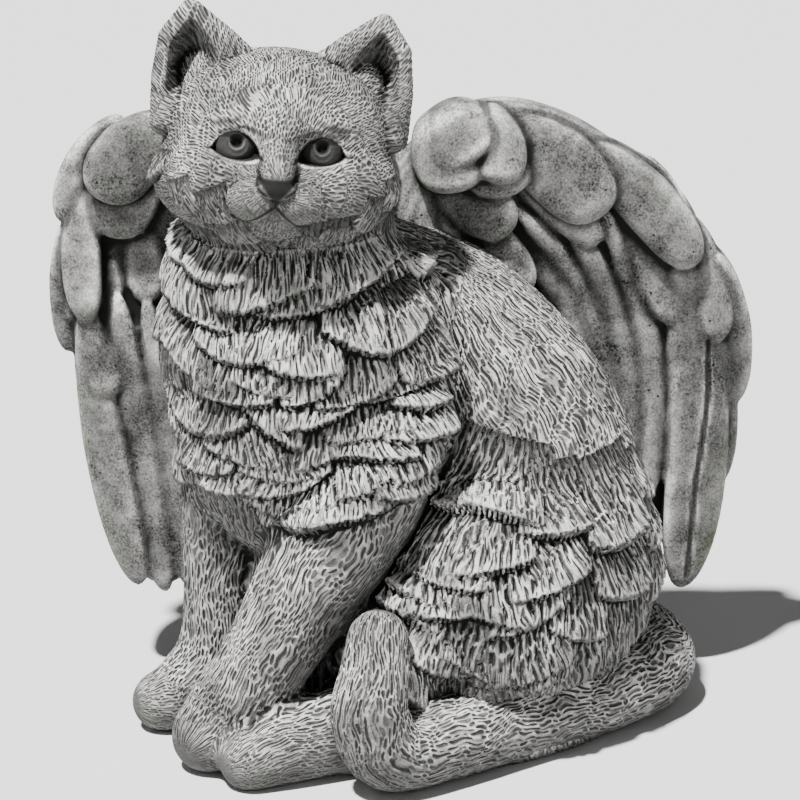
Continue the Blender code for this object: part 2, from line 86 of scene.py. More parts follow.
# A limb is a route of points, each with its radius.
BACK = ((-20, 15, 168, 32), (12, 22, 143, 42), (40, 18, 106, 47), (50, 10, 60, 50))
THIGH = ((30, -22, 62, 30), (4, -36, 48, 23), (-6, -38, 28, 18))
HIND_FOOT = ((0, -40, 18, 16), (-24, -50, 15, 16), (-45, -60, 12, 14), (-55, -65, 10, 12))
FAR_HIND_FOOT = ((5, 45, 18, 16), (-32, 30, 13, 14), (-50, 22, 11, 12))
NEAR_FORELEG = (
    (-8, -22, 125, 28),
    (-19, -36, 96, 24),
    (-36, -43, 66, 20),
    (-52, -45, 38, 17),
    (-65, -44, 18, 17),
    (-71, -49, 13, 14.5),
)
FAR_FORELEG = (
    (-60, -5, 120, 24),
    (-67, -2, 80, 16),
    (-69, -4, 50, 14),
    (-72, -6, 28, 14),
    (-84, -10, 13, 14),
    (-91, -12, 11, 12),
)
TAIL = (
    (52, 58, 26, 20),
    (82, 44, 19, 18.5),
    (98, 16, 17, 17.5),
    (80, -9, 16, 17),
    (46, -34, 15, 16.5),
    (16, -57, 15, 16),
    (-4, -71, 17, 15.5),
    (-11, -75, 32, 14.5),
    (-9, -71, 47, 13),
    (-8, -65, 57, 11.5),
)

# The head's own frame: +X to the viewer's right, -Y out of the face.
HEAD = (
    ((0, 6, 5), (42, 40, 32), (0, 0, 0)),
    ((0, -2, -10), (45, 35, 25), (0, 0, 0)),
    ((21, -15, -9), (19, 19, 16), (0, 0, 0)),
    ((-21, -15, -9), (19, 19, 16), (0, 0, 0)),
    ((0, -27, -13), (17, 16, 11), (0, 0, 0)),
    ((0, -29, -22.5), (10, 10.5, 6), (0, 0, 0)),
    ((0, -26, 6), (10, 12, 15), (25, 0, 0)),
    ((23, 9, 22), (15, 12, 16), (0, 0, 0)),
    ((-23, 9, 22), (15, 12, 16), (0, 0, 0)),
)
NOSE_BRIDGE = ((0, -26, 11, 8.5), (0, -33, 2, 7.2), (0, -40, -6, 5.3))
NOSE_TIP = ((0, -43.5, -8.5), (6.6, 3.8, 3.4), (0, 0, 0))
# What follows is on both sides of the face.
MUZZLE_PAD = ((8, -36.5, -13.5), (9.5, 8.5, 7.5), (0, 0, 0))
BROW = ((16, -23, 14), (10, 7, 4), (0, 12, 12))
EYE_SOCKET = ((15, -34, 5), (10.5, 11, 6.5), (0, 8, 0))
SOCKET_DEPTH = 3
# The opening between the lids: its middle, half its width, its rise and drop from the line of its corners.
EYE_OPENING, EYE_HALF, EYE_RISE, EYE_DROP, EYE_SLANT = (15, 1.9), 8.4, 6.4, 2.4, 5
LID_ARCH = 0.75
LID_PROUD, LID_WIDTH, LID_DEPTH, LID_SOFTNESS, LID_REACH = 0.5, 1.2, 5.0, 0.9, 6
# The lower lid stands out this share as far, and no fur is carved this near the opening.
LOWER_LID, BARE_LID = 0.45, 1.5
# The painted shadow line of a lid: how far out of the opening it lies and half its width, above and below.
UPPER_LID_SHADOW, LOWER_LID_SHADOW = (0.4, 0.85), (-0.1, 0.3)
# The painted shade in the corner of an eye starts here and ends here, outwards and inwards, in halves of
# the opening.
CORNER_START, CORNER_OUTER, CORNER_INNER = 0.97, 1.34, 1.22
# How the corner's painted shade falls and how wide it is, and how dark all the painted shade round an
# opening is.
CORNER_FALL, CORNER_WIDTH, EYE_RIM_SHADE = 0.4, 0.45, 0.96
EYEBALL_CENTRE, EYEBALL_RADIUS = (15, -22.4, 4.0), 8.0
IRIS_RADIUS, IRIS_DEPTH, PUPIL_RADIUS, PUPIL_DEPTH = 4.0, 0.5, 2.8, 2.6
GAZE, PUPIL_GAZE = (0.2, -8.0, 0.7), (0.2, -8.0, 1.9)
EYEBALL_FACETS = (84, 64)
# How soft the rims of the iris and the pupil are, and half the width of the painted highlight line round
# the iris, where its rim catches the light.
IRIS_RIM, PUPIL_RIM, IRIS_HIGHLIGHT = 0.5, 0.4, 0.3
# How dark the iris and the white are painted, and the painted shade in the pupil's hole.
IRIS_DARKNESS, WHITE_DARKNESS, PUPIL_SHADE = 0.62, 0.5, 0.99
# The painted shadow of the upper lid on the eyeball starts this far up the eyeball, in its radii, and grows
# this fast.
LID_SHADE, LID_SHADE_GROWTH, LID_SHADOW_DARKNESS = 0.16, 4, 0.96
# An ear is a hull over balls, less a hull over the balls of its hollow.
EAR_BALLS = (
    (14, 5, 30, 6),
    (34.5, 2, 48, 4),
    (41, -1, 38, 4.5),
    (42.5, -2, 24, 4.5),
    (41, -3, 8, 5.5),
    (29, 13, 22, 11),
    (22, 2, 38, 5),
)
EAR_HOLLOW = (
    (33.5, -5, 44.5, 2.5),
    (38.5, -8, 36, 3),
    (38.5, -9, 20, 3.5),
    (34, 4, 28, 5),
    (24.5, -10, 36, 3.5),
    (22.5, -13, 25, 4),
    (29, -14, 15, 4),
)

# A wing is set out across, in depth and up, as if it were at +X. Its plane sweeps back towards the tips.
WING_PLANE, WING_SWEEP = 38, 0.0009
WING_SHOULDER = ((0, 34, 166, 20), (8, 42, 200, 14))
LEFT_ARM = (
    (30, 40, 220, 14),
    (58, 46, 217, 12),
    (88, 52, 197, 10),
    (110, 57, 168, 8.5),
    (127, 60, 136, 6.5),
)
RIGHT_ARM = (
    (34, 40, 221, 14),
    (68, 46, 224, 13),
    (96, 50, 214, 11.5),
    (113, 55, 196, 9.5),
    (122, 58, 172, 8),
    (126, 60, 146, 7),
)
# A blade's width at its root, as a share, and how blunt its tip, flat its end and round its face are.
ROOT_WIDTH, TIP_BLUNTNESS, END_FLATNESS, FACE_ROUNDNESS = 0.7, 3.5, 7.0, 0.6
BLADE_SEGMENTS, BLADE_RINGS = 24, 26
# A feather is its root, its tip, how far it bows outwards, its width, thickness and depth behind the plane.
# Feathers lap like shingles: a root lies this much deeper than its tip, and less on the primaries.
SHINGLE, PRIMARY_SHINGLE = 8, 4
LEFT_WEBS = (
    ((18, 214), (104, 122), 0, 84, 8, 5),
    ((90, 210), (106, 52), 7, 46, 8, 5),
)
RIGHT_WEBS = (
    ((18, 216), (110, 136), 0, 92, 8, 5),
    ((102, 218), (92, 35), 8, 46, 8, 4),
)
LEFT_PRIMARIES = (
    ((106, 178), (111, 34.5), 8, 25, 10, -3),
    ((121, 172), (130.5, 108), 4, 15, 8, 3),
    ((117, 150), (124.5, 74), 4, 16, 9, 3),
)
RIGHT_PRIMARIES = (
    ((121, 156), (103, 36), 4, 18, 10, -2),
    ((109, 156), (93, 33), 1, 16, 9, 0),
    ((98, 156), (84, 36), 0, 14, 9, 1),
    ((127, 186), (129.5, 129), 3, 11, 8, 5),
)
# The inner primaries step evenly from the first to the last.
LEFT_INNER = (((75, 194), (95, 67), 12, 13, 9, 0), ((28, 190), (75, 116), 11, 11, 9, 2))
RIGHT_INNER = (((86, 180), (75, 48), 1, 12, 9, 1), ((34, 184), (58, 114), 7, 11, 9, 2))
INNER_COUNT = 4
# The coverts by the shoulder are alike on both wings.
SHOULDER_COVERTS = (
    ((28, 229), (38, 199.5), 2, 27, 16, -12),
    ((9, 231), (21, 203), 2, 27, 22, -16),
    ((30, 233), (36.5, 206), 3, 22, 22, -15),
    ((14, 234), (26, 214), 0, 32, 24, -15),
    ((6, 203), (43, 186), 2, 22, 14, -9),
    ((18, 190), (48.5, 159.5), 2, 21, 14, -6),
    ((2, 204), (21.5, 169), 2, 14, 12, -9),
    ((44, 203), (77, 178), 1, 16, 12, 0),
    ((36, 226), (77, 190.5), 3, 30, 20, -9),
)
LEFT_COVERTS = (
    ((107, 188), (123, 136), 3, 17, 14, -3),
    ((68, 217), (113.5, 168.5), 3, 22, 18, -6),
    ((77, 191), (109.5, 143), 4, 21, 14, -1),
)
RIGHT_COVERTS = (
    ((116, 166), (115, 113.5), 1, 21, 12, -2),
    ((121, 200), (121, 145), 2, 16, 13, -5),
    ((84, 224), (114, 195), 4, 27, 18, -9),
    ((106, 224), (130, 183), 5, 13, 12, 0),
    ((92, 223), (111, 178), 2, 28, 11, -1),
    ((110, 188), (111.5, 151), 1, 13, 9, 2),
    ((98, 194), (97.5, 152.5), 1, 16, 9, 1),
    ((92, 168), (93, 133.5), 0, 11, 8, 3),
)
# A quill shows as a scored line, a route across and up. The right wing has none.
LEFT_QUILLS = (((119.5, 138), (119.7, 112), (116, 79.5), (114, 51.8), (113.4, 40.6)),)
# A quill's width and depth, and how dark its groove is painted: painted shade.
QUILL_WIDTH, QUILL_DEPTH, QUILL_SHADE = 1.0, 0.8, 0.8
WINGS = (
    ("left_wing", 1, LEFT_ARM, LEFT_QUILLS, LEFT_WEBS, LEFT_PRIMARIES, LEFT_INNER, LEFT_COVERTS),
    ("right_wing", -1, RIGHT_ARM, (), RIGHT_WEBS, RIGHT_PRIMARIES, RIGHT_INNER, RIGHT_COVERTS),
)
# The back of the wing repeats every primary and the first coverts, each deeper than the one before.
BACK_COVERTS, BACK_PRIMARY_DEPTH, BACK_COVERT_DEPTH = 2, (5, 1.2), (11, 3)

# The locks of fur on the front lie as seen from this point, on an upright plane through the origin.
VIEWPOINT = Vector((0, -1189, 514))
VIEW_TARGET = Vector((0, 0, 128))
# A festoon of locks goes through its left end, its middle and its right end, across and up from the target.
# It ends with the number of its locks.
CHEST_ROWS = (
    ((-82, 54), (-44, 38), (2, 45), 6),
    ((-77, 27), (-44, 12), (4, 25), 6),
    ((-80, 10), (-32, -3), (14, 8), 7),
    ((-84, -9), (-40, -14), (7, -5), 6),
    ((-74, -26), (-34, -25), (8, -18), 6),
    ((-62, -33), (-28, -37), (4, -28), 5),
    ((-52, -43), (-30, -46), (2, -38), 4),
)
HAUNCH_ROWS = (
    ((22, -40), (46, -48), (80, -56), 4),
    ((5, -71), (34, -67), (84, -77), 5),
    ((4, -84), (40, -84), (86, -97), 6),
    ((16, -102), (38, -105), (66, -109), 4),
    ((10, -114), (26, -116), (44, -113), 3),
)
CHEEK_ROWS = (((-89, 86), (-42, 50), (6, 86), 11),)
# The width and length of a lock, how proud its tip stands and how it fans out towards a row's ends.
CHEST_LOCK, HAUNCH_LOCK, CHEEK_LOCK = (32, 23, 6.5, 14), (38, 26, 5.5, 10), (16, 12, 2.2, -22)
# How far a lock's tip wanders, in millimetres, and how far to one side its point lies, as a share.
TIP_WANDER, TIP_SKEW = 3.6, 1.0
# At the sides, tufts hang in rows round an upright axis, over the given angles from +X.
SIDE_ROWS = (
    ((-36, -4), (186, 168, 150, 132, 114), (160, 222)),
    ((34, 8), (96, 78, 60, 42), (-12, 62)),
)
SIDE_STEP, SIDE_LOCK, SIDE_RISE = 22, (26, 22), 3.6
LOCK_LAP, LOCK_POINT = 1.2, 0.13
LOCK_FAN, LOCK_CURL, LOCK_NOTCH = 0.35, 0.22, 0.03
# How a lock's height swells to its tip and falls to its sides, and how far it turns round the skin.
LOCK_SWELL, LOCK_SIDES, LOCK_FACING = 1.3, 1.3, 0.3
# How much the locks differ in size, as shares, and in lean, in degrees.
FRONT_VARIETY, FRONT_LEAN = (0.8, 1.25), (-6, 10)
SIDE_VARIETY, SIDE_LEAN, SIDE_TURN, SIDE_RAISE = (0.85, 1.1), 12, 3, 4
# A lock is this much longer than it shows, to run up under the row above it.
LOCK_OVERLAP = 1.15
# Rays on to the body and the wings start this far out.
RAY_START = 200
BARE_LIP = 0.72
SEED = 7

# Fur is carved in columns of short strokes: the columns' width, the strokes' length and their depth.
BODY_FUR, CHEST_FUR = (1.7, 5.5, 0.5), (1.6, 7.5, 0.6)
LEG_FUR, PAW_FUR, TAIL_FUR = (1.5, 5.5, 0.4), (1.5, 4.5, 0.25), (1.7, 5.5, 0.45)
HEAD_FUR, MUZZLE_FUR = (1.25, 3.4, 0.25), (1.05, 2.4, 0.16)
CHEST_FLUTES, HAUNCH_FLUTES, CHEEK_FLUTES = (1.55, 9.0, 0.75), (1.8, 8.0, 0.85), (1.3, 5.5, 0.45)
# The relief takes the strokes in clumps, this many columns and rows to a clump.
CLUMP = (2.0, 1.4, 1.0)
GROOVE_SHARE, GROOVE_LENGTH = 0.62, 0.82
# Painted shade on the locks: a lock keeps this share of its worn colour at its root and is darkened this
# much there, where the row above shades it, and is painted lighter towards its lip.
LIP_SHADE, ROOT_SHADE = 0.22, 0.6
# Partly weathering and partly painted light: a surface is painted lighter where it faces up and darker
# where it faces down, as light from above falls. How much of its worn colour a surface keeps where it faces
# down, and where it faces up.
UNDER_SHADE_AND_WASH, TOP_LIGHT_AND_WASH = 0.12, 1.45
# Each column of grooves is set off from the last by this share of a groove.
STAGGER = 0.618
PAW_TOP = 22
# The nose's bare leather: half its width at the top, its top and its lower point; then how much darker the
# leather is painted.
NOSE_LEATHER, NOSE_DARKNESS = (6.6, -5.2, -13.0), 0.95
# A line on the face is a route across and up in the head's frame, its half width and its depth. Each line
# is painted dark along its groove: painted shade.
FACE_LINES = (
    (((-6.9, -6.0), (-6.4, -8.2), (-3.6, -10.6)), 0.6, 0.9),
    (((6.9, -6.0), (6.4, -8.2), (3.6, -10.6)), 0.6, 0.9),
    (((0, -12.4), (0, -15)), 0.7, 1.2),
    (((0, -14.6), (-3.4, -17.2), (-8, -20.2), (-12.4, -20.6), (-14.5, -19.4)), 0.75, 1.3),
    (((0, -14.6), (4.2, -18.4), (8.7, -21.6), (12.5, -22)), 0.75, 1.3),
)
# Fur is combed along these lines: down the chest, and down the back from the shoulders.
CHEST_COMB = ((-40, 6, 240), (-40, 0, 40), 44)
BACK_COMB = ((-16, 10, 235), (52, 10, 10), 48)
NOSE_RINGS, NOSE_RING_GROWTH = 8, 1.5
WAVER_SIZE, WAVER_ASIDE, WAVER_ALONG = 26, 1.0, 1.6
RUFFLE_SIZE, RUFFLE = 9, 0.26
POLE_SMOOTH = 4.0
LIMB_REACH, TAIL_REACH = 1.25, 2
# What lies further back than this is combed as the back is.
BACK_START = 18
# The head's fur is combed within this ball and above this neck line, and all round the ears above a level.
HEAD_REACH, HEAD_FOOT, HEAD_FOOT_TILT, EAR_LEVEL, EAR_DEPTH = (58, 56, 52), -30, 0.1, 12, 45
MUZZLE_REACH = 17
SHOULDER_FOOT, SHOULDER_TOP = (-4, 76), (22, 170)
WAIST_LEVEL, NECK_LEVEL, NECK_LAP, NECK_ROOM = 92.0, 199.0, 3.0, 14.0
UPWARD, DOWNWARD = (0, 0, 1), (0, 0, -1)
# Each piece of the body ends at the shoulder's line on one side of it, and at the waist.
BODY_PIECES = (("chest", 1, -1), ("forelegs", 1, 1), ("haunch", -1, 1), ("back", -1, -1))
# How far forward the skin takes the marks of the eyes and of the nose, and where rays on to the face start.
FACE_FRONT, NOSE_FRONT, FACE_RAY = -10, -30, -60
# How far apart the points of a scored line are.
QUILL_STEP, FACE_STEP = 0.6, 0.4
# Rounds of smoothing for a fused skin, and for the surroundings in which a point lies deep.
FUR_SOFTENING, HEAD_SOFTENING, WING_SOFTENING = 3, 4, 2
NOOK_ROUNDS, HOLLOW_ROUNDS, ROUND_SHARE = 5, 60, 0.7

STONE_ROUGHNESS, STONE_SPECULAR, BUMP_STRENGTH, BUMP_DISTANCE = 0.88, 0.2, 0.9, 0.0007
# How dark the fur's grooves are painted, for dirt and painted shade, how much of its worn colour a patch
# keeps, the grain, and the dirt and painted shade in nooks and hollows.
FUR_STONE = (0.75, 0.35, {"Contrast": 0.8, "Pinholes": 0.2}, {"Nook": 0.5, "Hollow": 2.1})
FEATHER_STONE = (0, 0.15, {"Contrast": 1.7, "Pinholes": 0.9}, {"Nook": 0.65, "Hollow": 2.4})
# A point's depth in its surroundings, in millimetres, where wear starts and where it is complete.
FUR_WEAR, FEATHER_WEAR = (-0.05, -0.4), (0.03, -0.3)
PATCHES_PER_METRE, MOSS_PATCHES_PER_METRE, MOSS_SHARE = 34.0, 45.0, 0.35
PITS_PER_METRE = 260.0
PAPER_SHADE, PAPER_ROUGHNESS, FLOOR_SIZE = 0.86, 0.9, 6
WORLD_STRENGTH = 0.10
# A light's name, its strength, the angle that it fills in degrees and the way that it shines.
LIGHTS = (("key", 9.0, 3, (0.28, 0.36, -1.0)), ("fill", 0.35, 60, (-0.3, 1.0, -0.3)))

CAMERA_TARGET = (0, 0, 128)
CAMERA_SENSOR = 36
CAMERA_ELEVATION, CAMERA_DISTANCE, CAMERA_LENS = 18.0, 1250, 149.85


class StatueSizes(bpy.types.PropertyGroup):
    """Sizes of the carving, in figure millimetres."""

    fur_detail: FloatProperty(
        name="Fur detail", description="Width of a facet of the fur", default=0.88, min=0.5
    )
    head_detail: FloatProperty(
        name="Head detail", description="Width of a facet of the head", default=0.66, min=0.4
    )
    wing_detail: FloatProperty(
        name="Wing detail", description="Width of a facet of a wing", default=1.25, min=0.6
    )
    carving: FloatProperty(
        name="Carving", description="Depth of every groove, as a share", default=1.0, min=0.1
    )


class StoneLook(bpy.types.PropertyGroup):
    """Colours of the weathered stone."""

    light: FloatVectorProperty(
        name="Worn stone", description="Colour of the ridges", subtype="COLOR", default=(0.66, 0.65, 0.63)
    )
    mid: FloatVectorProperty(
        name="Stone", description="Colour of open surfaces", subtype="COLOR", default=(0.085, 0.084, 0.080)
    )
    # Painted shade as well as dirt and soot: this colour darkens nooks, hollows, grooves, lock roots, lid
    # lines, pupils and scored lines.
    dark: FloatVectorProperty(
        name="Soot",
        description="Colour of the dirt in the recesses",
        subtype="COLOR",
        default=(0.006, 0.0059, 0.0056),
    )
    moss: FloatVectorProperty(
        name="Moss", description="Tinge of the outer rims", subtype="COLOR", default=(0.20, 0.23, 0.12)
    )


def turned(degrees):
    return Euler([math.radians(a) for a in degrees]).to_matrix().to_4x4()


def head_frame():
    return Matrix.Translation(HEAD_CENTRE) @ turned((HEAD_PITCH, HEAD_ROLL, HEAD_YAW))


def into_face():
    """The way straight into the face."""
    return np.array(head_frame().to_3x3() @ Vector((0, 1, 0)))


def sided(side):
    return Matrix.Diagonal((side, 1, 1, 1))


def linked(name, data):
    obj = bpy.data.objects.new(name, data)
    bpy.context.scene.collection.objects.link(obj)
    return obj


def applied(obj):
    """The object's mesh with its modifiers applied. The object goes."""
    graph = bpy.context.evaluated_depsgraph_get()
    mesh = bpy.data.meshes.new_from_object(obj.evaluated_get(graph))
    bpy.data.objects.remove(obj)
    return mesh


def unit_ball(segments=28, rings=18):
    bm = bmesh.new()
    bmesh.ops.create_uvsphere(bm, u_segments=segments, v_segments=rings, radius=1)
    mesh = bpy.data.meshes.new("ball")
    bm.to_mesh(mesh)
    bm.free()
    return mesh


def mass_mesh(mass, place=Matrix()):
    centre, radii, turns = mass
    mesh = unit_ball()
    mesh.transform(place @ Matrix.Translation(centre) @ turned(turns) @ Matrix.Diagonal((*radii, 1)))
    return mesh


def smooth_route(route, step=3.0):
    """Points with radii along one curve through the route, about a step apart."""
    knots = np.array(route, float)
    knots = np.vstack([2 * knots[0] - knots[1], knots, 2 * knots[-1] - knots[-2]])
    found = []
    for a, b, c, d in zip(knots, knots[1:], knots[2:], knots[3:]):
        count = max(2, int(np.linalg.norm(c[:3] - b[:3]) / step))
        for t in np.arange(count) / count:
            straight = 2 * b + (c - a) * t
            curved = (2 * a - 5 * b + 4 * c - d) * t**2 + (3 * b - a - 3 * c + d) * t**3
            found.append(0.5 * (straight + curved))
    return np.array([*found, knots[-2]])


def limb_meshes(route, place=Matrix()):
    """A tapering limb: a bevelled curve through the route, with a ball at each end."""
    points = smooth_route(route)
    curve = bpy.data.curves.new("limb", "CURVE")
    curve.dimensions = "3D"
    curve.bevel_depth = 1
    curve.bevel_resolution = 8
    curve.use_fill_caps = True
    spline = curve.splines.new("POLY")
    spline.points.add(len(points) - 1)
    for point, (x, y, z, radius) in zip(spline.points, points):
        point.co = (x, y, z, 1)
        point.radius = radius
    meshes = [applied(linked("limb", curve))]
    for x, y, z, radius in (points[0], points[-1]):
        meshes.append(mass_mesh(((x, y, z), (radius,) * 3, (0, 0, 0))))
    for mesh in meshes:
        mesh.transform(place)
    return meshes


def hull_mesh(balls, place):
    """The hull stretched over some balls."""
    bm = bmesh.new()
    for x, y, z, radius in balls:
        bmesh.ops.create_icosphere(bm, subdivisions=3, radius=radius, matrix=Matrix.Translation((x, y, z)))
    hull = bmesh.ops.convex_hull(bm, input=bm.verts)
    inside = {v for v in hull["geom_interior"] if isinstance(v, bmesh.types.BMVert)}
    bmesh.ops.delete(bm, geom=list(inside), context="VERTS")
    mesh = bpy.data.meshes.new("hull")
    bm.to_mesh(mesh)
    bm.free()
    mesh.transform(place)
    return mesh


def joined(name, meshes):
    """One object from some meshes, each turned the right way out."""
    bm = bmesh.new()
    for mesh in meshes:
        bm.from_mesh(mesh)
    bmesh.ops.recalc_face_normals(bm, faces=bm.faces)
    mesh = bpy.data.meshes.new(name)
    bm.to_mesh(mesh)
    bm.free()
    return linked(name, mesh)


def fused(obj, voxel, softening):
    """One closed skin over everything in the object, with its creases softened."""
    remesh = obj.modifiers.new("skin", "REMESH")
    remesh.mode = "VOXEL"
    remesh.voxel_size = voxel
    soften = obj.modifiers.new("soften", "SMOOTH")
    soften.factor = 0.5
    soften.iterations = softening
    return applied(obj)


def rounded(mesh):
    """The mesh with its facets halved and rounded."""
    obj = linked("rounded", mesh.copy())
    finer = obj.modifiers.new("finer", "SUBSURF")
    finer.levels = 1
    finer.render_levels = 1
    return applied(obj)


def positions(mesh):
    found = np.empty(len(mesh.vertices) * 3, np.float32)
    mesh.vertices.foreach_get("co", found)
    return found.reshape(-1, 3).astype(float)


def vertex_normals(mesh):
    found = np.empty(len(mesh.vertices) * 3, np.float32)
    mesh.vertices.foreach_get("normal", found)
    return found.reshape(-1, 3).astype(float)


def place_vertices(mesh, points):
    mesh.vertices.foreach_set("co", points.astype(np.float32).ravel())
    mesh.update()


def store(mesh, name, values):
    mesh.attributes.new(name, "FLOAT", "POINT").data.foreach_set("value", values.astype(np.float32))


def surface_tree(mesh):
    bm = bmesh.new()
    bm.from_mesh(mesh)
    tree = BVHTree.FromBMesh(bm)
    bm.free()
    return tree


def unit(vectors):
    return vectors / np.maximum(SMALLEST, np.linalg.norm(vectors, axis=-1, keepdims=True))


def trunk():
    """Trunk, limbs and skull as one soft form, made once."""
    made = bpy.data.meshes.get("trunk")
    if made:
        return made
    meshes = [mass_mesh(mass) for mass in TRUNK]
    for route in (BACK, THIGH, HIND_FOOT, FAR_HIND_FOOT, NEAR_FORELEG, FAR_FORELEG):
        meshes += limb_meshes(route)
    meshes += [mass_mesh(mass, head_frame()) for mass in HEAD]
    mesh = fused(joined("body", meshes), TRUNK_SKIN, TRUNK_SOFTENING)
    mesh.name = "trunk"
    mesh.use_fake_user = True
    return mesh


def ear_mesh(side):
    place = head_frame() @ sided(side)
    ear = joined("ear", [hull_mesh(EAR_BALLS, place)])
    hollow = joined("hollow", [hull_mesh(EAR_HOLLOW, place)])
    boolean = ear.modifiers.new("cut", "BOOLEAN")
    boolean.object = hollow
    mesh = applied(ear)
    bpy.data.objects.remove(hollow)
    return mesh


def face_meshes():
    place = head_frame()
    meshes = [*limb_meshes(NOSE_BRIDGE, place), mass_mesh(NOSE_TIP, place)]
    for side in (1, -1):
        meshes += [mass_mesh(mass, place @ sided(side)) for mass in (MUZZLE_PAD, BROW)]
        meshes.append(ear_mesh(side))
    return meshes


def placed_lock(hit, lean, size, rise, skew, flutes):
    """A lock where a ray meets the skin: middle, normal, fall, width, length, rise, skew and flutes."""
    spot, normal = hit[:2]
    fall = Vector((math.sin(math.radians(lean)), 0, -math.cos(math.radians(lean))))
    fall = fall - fall.dot(normal) * normal
    return spot, normal, fall.normalized(), *size, rise, skew, flutes


def front_locks(tree, rows, lock, flutes, chance):
    """Rows of locks, each cast on to the skin from the viewpoint by its middle."""
    up = (VIEWPOINT - VIEW_TARGET).cross(Vector((1, 0, 0))).normalized()
    locks = []
    for left, middle, right, count in rows:
        left, middle, right = (np.array(end, float) for end in (left, middle, right))
        for t in np.arange(count) / (count - 1):
            tip = left * (1 - t) * (1 - 2 * t) + middle * 4 * t * (1 - t) + right * t * (2 * t - 1)
            width, length, rise, fan = lock * chance.uniform(*FRONT_VARIETY, 4)
            lean = fan * (2 * t - 1) + chance.uniform(*FRONT_LEAN)
            back = math.radians(lean)
            tip = tip + (0, chance.uniform(-TIP_WANDER, TIP_WANDER))
            skew = chance.uniform(-TIP_SKEW, TIP_SKEW)
            across, above = tip + length / 2 * np.array([-math.sin(back), math.cos(back)])
            ray = VIEW_TARGET + Vector((across, 0, 0)) + up * above - VIEWPOINT
            hit = tree.ray_cast(VIEWPOINT, ray)
            if hit[0]:
                locks.append(placed_lock(hit, lean, (width, length * LOCK_OVERLAP), rise, skew, flutes))
    return locks


def side_locks(tree, chance):
    locks = []
    for axis, rows, (start, stop) in SIDE_ROWS:
        for number, level in enumerate(rows):
            for angle in np.arange(start, stop, SIDE_STEP) + SIDE_STEP / 2 * (number % 2):
                a = math.radians(angle + chance.uniform(-SIDE_TURN, SIDE_TURN))
                outward = Vector((math.cos(a), math.sin(a), 0))
                origin = Vector((*axis, level + chance.uniform(-SIDE_RAISE, SIDE_RAISE)))
                size = [s * chance.uniform(*SIDE_VARIETY) for s in SIDE_LOCK]
                hit = tree.ray_cast(origin + outward * RAY_START, -outward)
                lean = chance.uniform(-SIDE_LEAN, SIDE_LEAN)
                skew = chance.uniform(-TIP_SKEW, TIP_SKEW)
                locks.append(placed_lock(hit, lean, size, SIDE_RISE, skew, HAUNCH_FLUTES))
    return locks


def fur_locks():
    tree = surface_tree(trunk())
    chance = np.random.default_rng(SEED)
    locks = side_locks(tree, chance)
    kinds = (
        (CHEST_ROWS, CHEST_LOCK, CHEST_FLUTES),
        (HAUNCH_ROWS, HAUNCH_LOCK, HAUNCH_FLUTES),
        (CHEEK_ROWS, CHEEK_LOCK, CHEEK_FLUTES),
    )
    for rows, lock, flutes in kinds:
        locks += front_locks(tree, rows, np.array(lock, float), flutes, chance)
    return locks


def lock_lift(points, normals, locks):
    """How far locks lift each point, its highest lock or -1, its comb there and how near it is to a lip."""
    lift = np.zeros(len(points))
    winner = np.full(len(points), -1)
    comb = np.zeros((len(points), 3))
    lip = np.full(len(points), BARE_LIP)
    for number, (middle, normal, fall, width, length, rise, skew, flutes) in enumerate(locks):
        pitch, groove, depth = flutes
        offset = points - np.array(middle)
        near = np.flatnonzero((offset**2).sum(1) < (width + length) ** 2 / 3)
        facing = normals[near] @ np.array(normal)
        near, facing = near[facing > LOCK_FACING], facing[facing > LOCK_FACING]
        across = offset[near] @ np.array(fall.cross(normal)) / (width / 2)
        down = offset[near] @ np.array(fall) / length + 0.5
        spread = 1 + LOCK_FAN * (down - 1)
        column = (across - LOCK_CURL * skew * down**2) / spread * width / 2 / pitch + number * STAGGER
        tip = 1 - LOCK_POINT * (across - skew) ** 2 + LOCK_NOTCH * np.cos(2 * math.pi * column)
        past = np.clip((tip - down) * length / LOCK_LAP, 0, 1)
        height = rise * np.clip(down / np.maximum(tip, 0.1), 0, 1) ** LOCK_SWELL * past
        height *= np.clip(LOCK_SIDES - LOCK_SIDES * across**4, 0, 1)
        height *= np.clip(facing * 1.5 - LOCK_FACING, 0, 1)
        height[np.abs(offset[near] @ np.array(normal)) > length * 0.6] = 0
        higher = height > lift[near]
        lift[near[higher]] = height[higher]
        winner[near[higher]] = number
        lip[near[higher]] = np.clip(down / np.maximum(tip, 0.1), 0, 1)[higher]
        along = down * length / groove + number * STAGGER
        comb[near[higher]] = np.stack([column, along, np.full(len(near), depth)], 1)[higher]
    return lift, winner, comb, lip


def waver(points, size, chance):
    """A smooth unevenness about 0 over the points, with waves of about the given size."""
    total = np.zeros(len(points))
    for _ in range(6):
        wave = unit(chance.normal(size=3)) * 2 * math.pi / size * chance.uniform(0.6, 1.5)
        total += np.sin(points @ wave + chance.uniform(0, 2 * math.pi))
    return total / 1.7


def comb_around(points, start, end, radius):
    """Millimetres round a straight line and along it."""
    axis = unit(np.array(end, float) - start)
    first = unit(np.cross(axis, (1, 0, 0)))
    offset = points - start
    turn = np.arctan2(offset @ np.cross(axis, first), offset @ first)
    return np.stack([turn * radius, offset @ axis], 1)


